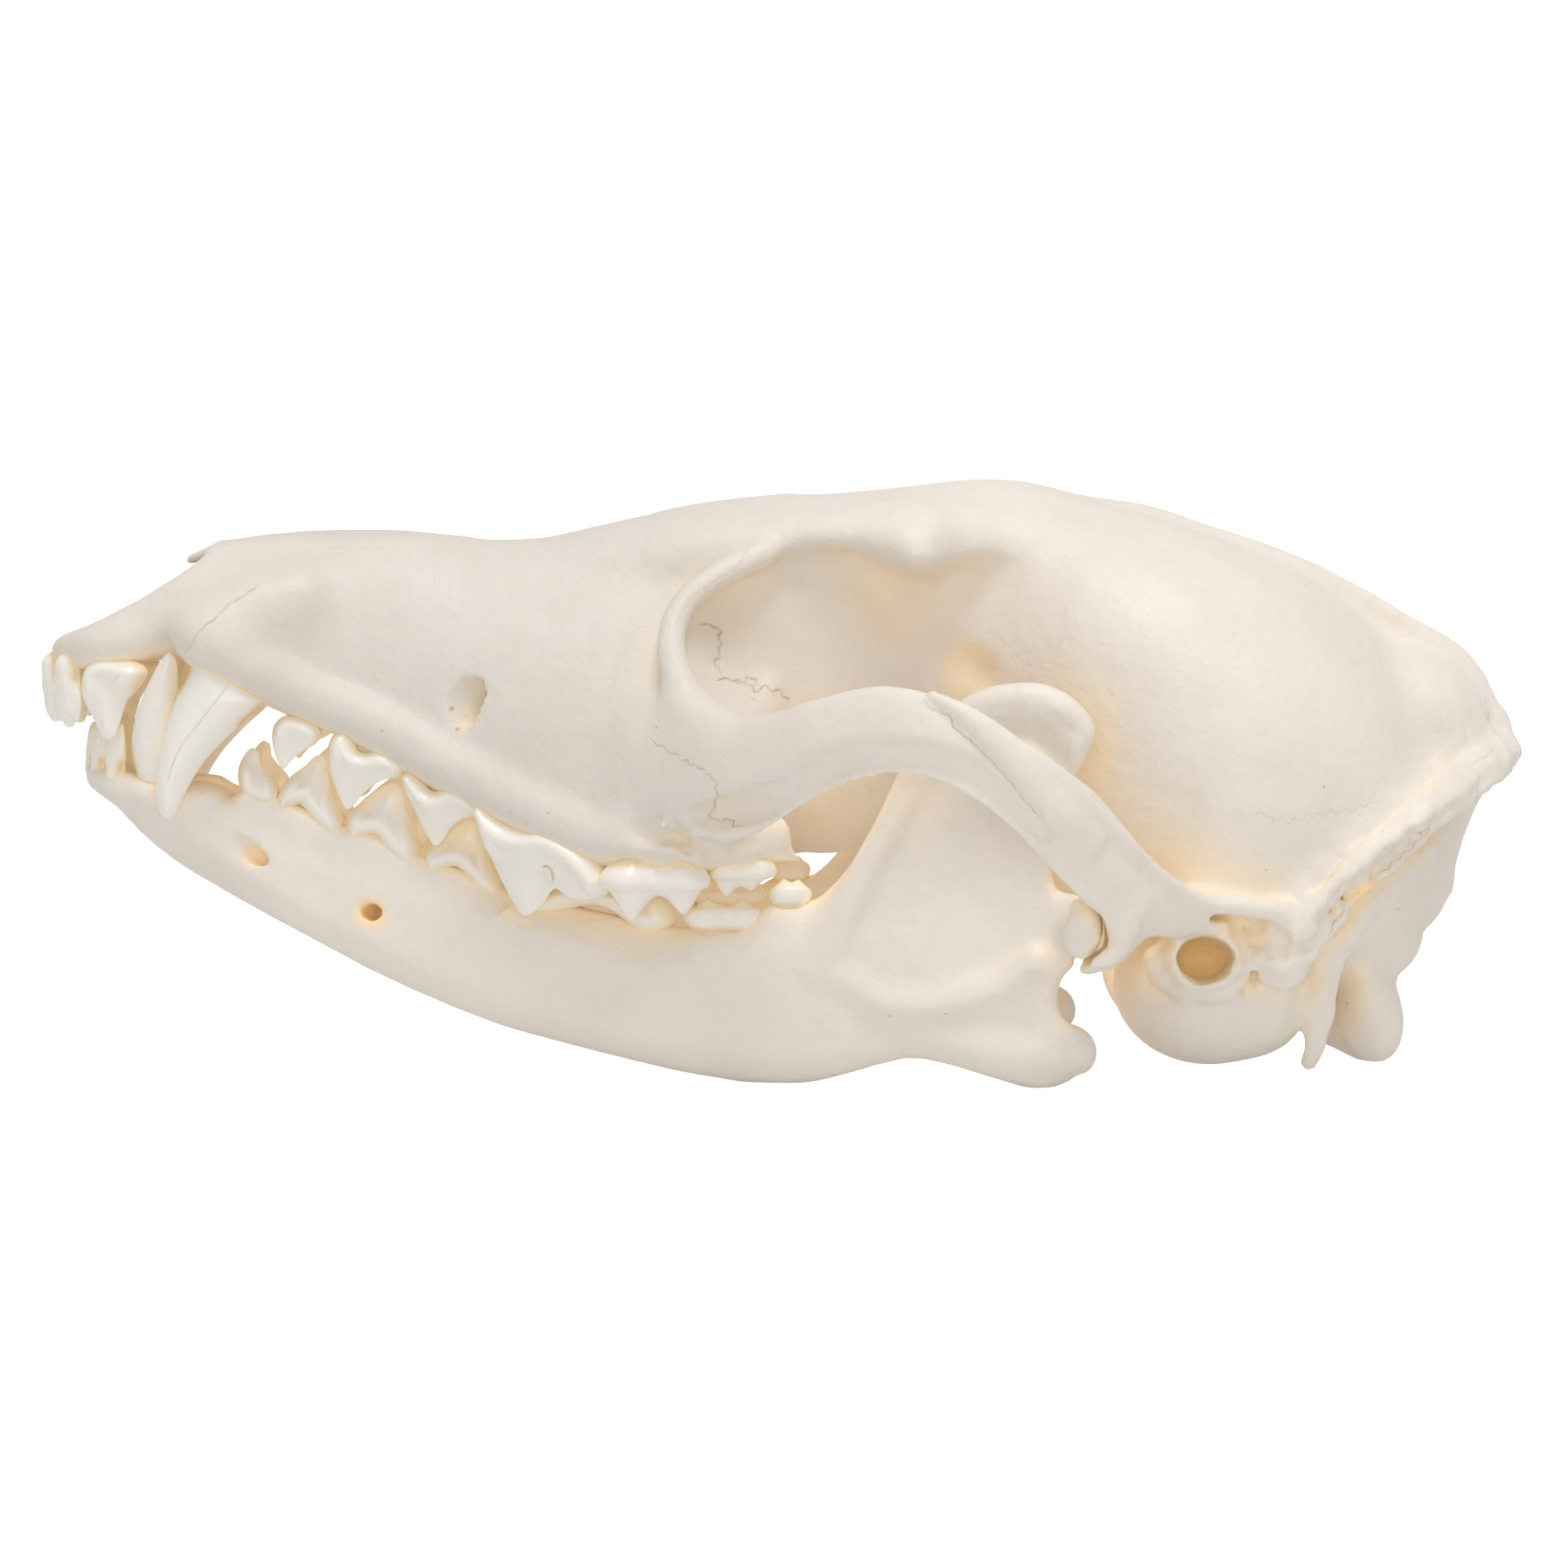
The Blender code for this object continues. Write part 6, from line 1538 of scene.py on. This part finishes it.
def enamel_material():
    """Enamel: glossy white crown, cream at the neck, partly its own colour and partly painted shade where
    it meets the bone, and cream as painted shade and warm bounce light where teeth or bone stand close.
    """
    material, shader, add, link = shader_tree("enamel")
    # Cream to amber towards the neck: partly the neck's own colour, partly painted shade where the crown
    # meets the bone
    colour = ramp(add, link, stored(add, "height"), [
        (0.0, (0.62, 0.42, 0.18)), (0.35, (0.78, 0.62, 0.40)), (0.65, (0.79, 0.73, 0.64)),
        (1.0, (0.80, 0.775, 0.725))])
    streaks = noise(add, link, Scale=300.0, Detail=3.0)
    tint = ramp(add, link, streaks, [(0.4, grey(0)), (0.75, grey(0.4))])
    colour = mixed(add, link, tint, colour, (0.77, 0.74, 0.68))
    # Painted shade and warm bounce light: cream where the rays find other teeth or bone close by
    recess_shade = ramp(add, link, stored(add, "recess_shade"), [(0.2, grey(0)), (0.6, grey(1))])
    colour = mixed(add, link, recess_shade, colour, (0.97, 0.86, 0.66))
    link(colour, shader.inputs["Base Color"])
    gloss = ramp(add, link, streaks, [(0.3, grey(0.24)), (0.7, grey(0.34))])
    link(gloss, shader.inputs["Roughness"])
    relief(add, link, shader, streaks, 0.12, 0.0002)
    glow_inside(shader, (1.0, 0.75, 0.5), 0.0008)
    return material


def camera_ray(tree):
    """1 for what the camera sees and 0 for the light that the skull gets."""
    return tree.nodes.new("ShaderNodeLightPath").outputs["Is Camera Ray"]


def as_seen(tree, socket, given, seen):
    """A strength that is one value for the skull and another one for the camera."""
    strength = tree.nodes.new("ShaderNodeMapRange")
    strength.inputs["To Min"].default_value = given
    strength.inputs["To Max"].default_value = seen
    tree.links.new(camera_ray(tree), strength.inputs["Value"])
    tree.links.new(strength.outputs["Result"], socket)


def lamp(name, kind, place, power):
    """A lamp at a place in metres, with its power in watts."""
    light = bpy.data.lights.new(name, kind)
    light.energy = power
    holder = bpy.data.objects.new(name, light)
    holder.location = place
    bpy.context.scene.collection.objects.link(holder)
    return holder


def turn_to(holder, way):
    """Turns a lamp or the camera so that it looks along the way."""
    holder.rotation_mode = "QUATERNION"
    holder.rotation_quaternion = way.to_track_quat("-Z", "Y")


def bone_piece(name, form, box, grain, triangles, halved, material, slot):
    """Bone as a piece, from its form."""
    points, quads = skin(form, *box, grain, halved)
    obj = thinned(piece(name, points, quads, material, slot), triangles)
    obj.data.shade_smooth()
    return obj


# The materials, the bone and the teeth
# The last two colours of each bone are the painted shade at the nose and over the face
skull_bone = bone_material("skull_bone", 0.0, grey(0.96), (0.87, 0.87, 0.875))
jaw_bone = bone_material("jaw_bone", 0.01, (0.96, 0.98, 1.0), grey(1.0))
enamel = enamel_material()
seam_and_shade_marks = seam_and_shade_material()

skull = bone_piece("skull", cranium, SKULL_BOX, SKULL_GRAIN, SKULL_TRIANGLES, True, skull_bone,
                   "cranium_bone")
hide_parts("cranium")
jaw = bone_piece("jaw_right", jaw_half, JAW_BOX, JAW_GRAIN, JAW_TRIANGLES, False, jaw_bone, "jaw_bone")
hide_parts("mandible_right")
jaw_faces = [list(face.vertices) for face in jaw.data.polygons]
other = piece("jaw_left", *mirrored(vertices(jaw), jaw_faces), jaw_bone, "jaw_bone")
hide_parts("mandible_left")
all_teeth = []
for jaws, crowns, grinders, way in (
        ("upper", UPPER_CROWNS, UPPER_GRINDERS, -1),
        ("lower", LOWER_CROWNS, LOWER_GRINDERS, 1)):
    points, faces, heights = heap([crown(row) for row in crowns] + [grinder(row, way) for row in grinders])
    right = piece(f"{jaws}_teeth_right", points, faces, enamel, "enamel")
    left = piece(f"{jaws}_teeth_left", *mirrored(points, faces), enamel, "enamel")
    for teeth in (right, left):
        attribute(teeth, "height", heights)
    all_teeth.append((right, left))

# How closed in each point is, for the painted shade in the hollows, and the painted amber shade of the deep
# holes, for the materials
solid = tree_of([skull, jaw, other, *all_teeth[0], *all_teeth[1]])
for obj, twin in ((skull, None), (jaw, other), *all_teeth):
    values = {"recess_shade": occlusion(obj, solid)}
    if obj in (skull, jaw):
        values["amber_shade"] = amber_shade(vertices(obj), SKULL_AMBER_SHADE if obj is skull else JAW_AMBER_SHADE)
    for key, value in values.items():
        attribute(obj, key, value)
        if twin:
            attribute(twin, key, value)

# Seams, pores painted as shade, the canine's crack and the painted shadow of the carnassial's slit
bone_tree, tooth_tree = tree_of([skull, jaw, other]), tree_of([*all_teeth[0], *all_teeth[1]])
marks = []
for seed, (width, jag, depth, pixels) in enumerate(SEAMS):
    marks.append(seam(bone_tree, pixels, width, jag, depth, seed))
# Pores: dark marks painted for the shade inside small holes
for width, x, y in PORE_SHADOWS:
    reach = PORE_REACH * width
    marks.append(seam(bone_tree, [(x - reach, y - 1), (x + reach, y + 1)], width, 0.0, 1.0, PORE_SEED))
points, faces, depths = heap(marks)
for name, surface in (("seams_and_pore_shade_left", (points, faces)), ("seams_and_pore_shade_right", mirrored(points, faces))):
    attribute(piece(name, *surface, seam_and_shade_marks, "cranium_bone"), "depth", depths)
# The canine's crack, and a painted shadow in the carnassial's slit
crack_and_slit_shadow = []
for width, jag, depth, pixels in TOOTH_LINES:
    crack_and_slit_shadow.append(seam(tooth_tree, pixels, width, jag, depth, CRACK_SEED))
points, faces, depths = heap(crack_and_slit_shadow)
attribute(piece("tooth_crack_and_slit_shadow", points, faces, seam_and_shade_marks, "enamel"), "depth", depths)

# The floor and the light tent
floor_material, floor_shader, *_ = shader_tree("pale_floor")
floor_shader.inputs["Base Color"].default_value = (*grey(FLOOR_GREY), 1.0)
floor_shader.inputs["Roughness"].default_value = 0.9
floor_shader.inputs["Emission Color"].default_value = (*grey(1.0), 1.0)
floor = bpy.data.meshes.new("floor")
corners = [(-1, -1), (1, -1), (1, 1), (-1, 1)]
floor.from_pydata([(x * FLOOR_HALF, y * FLOOR_HALF, -FLOOR_DROP) for x, y in corners], [], [(0, 1, 2, 3)])
floor.materials.append(floor_material)
floor_object = bpy.data.objects.new("floor", floor)
bpy.context.scene.collection.objects.link(floor_object)

world = bpy.data.worlds.new("tent")
world.use_nodes = True
tent = world.node_tree
background = tent.nodes["Background"]
tint = tent.nodes.new("ShaderNodeMix")
tint.data_type = "RGBA"
tint.inputs[6].default_value = (*TENT_COLOUR, 1.0)
tint.inputs[7].default_value = (*grey(1.0), 1.0)
tent.links.new(camera_ray(tent), tint.inputs[0])
tent.links.new(tint.outputs[2], background.inputs["Color"])
as_seen(tent, background.inputs["Strength"], TENT_LIGHT, TENT_SEEN)
as_seen(floor_material.node_tree, floor_shader.inputs["Emission Strength"], FLOOR_LIGHT, FLOOR_SEEN)
bpy.context.scene.world = world
bpy.context.scene.view_settings.view_transform = "Standard"

# The lamps and the camera
for place, power, size in LAMPS:
    holder = lamp("soft_lamp", "AREA", place, power)
    holder.data.size = size
    turn_to(holder, Vector(LAMP_AIM) - Vector(place))
for x, y, z, power, radius in GLOWS:
    holder = lamp("glow", "POINT", Vector((x, y, z)) * MM, power * MM)
    holder.data.shadow_soft_size = radius * MM
    holder.data.color = GLOW_COLOUR
    holder.visible_camera = False
    holder.visible_glossy = False

back, _ = camera_axes()
camera = bpy.data.cameras.new("camera")
camera.sensor_width = SENSOR_WIDTH
camera.lens = SENSOR_WIDTH / 2 * CAMERA_DISTANCE / (PHOTO_PIXELS / 2 * PIXEL_MM)
camera_object = bpy.data.objects.new("camera", camera)
camera_object.location = (Vector(CAMERA_TARGET) + back * CAMERA_DISTANCE) * MM
turn_to(camera_object, -back)
bpy.context.scene.collection.objects.link(camera_object)
bpy.context.scene.camera = camera_object
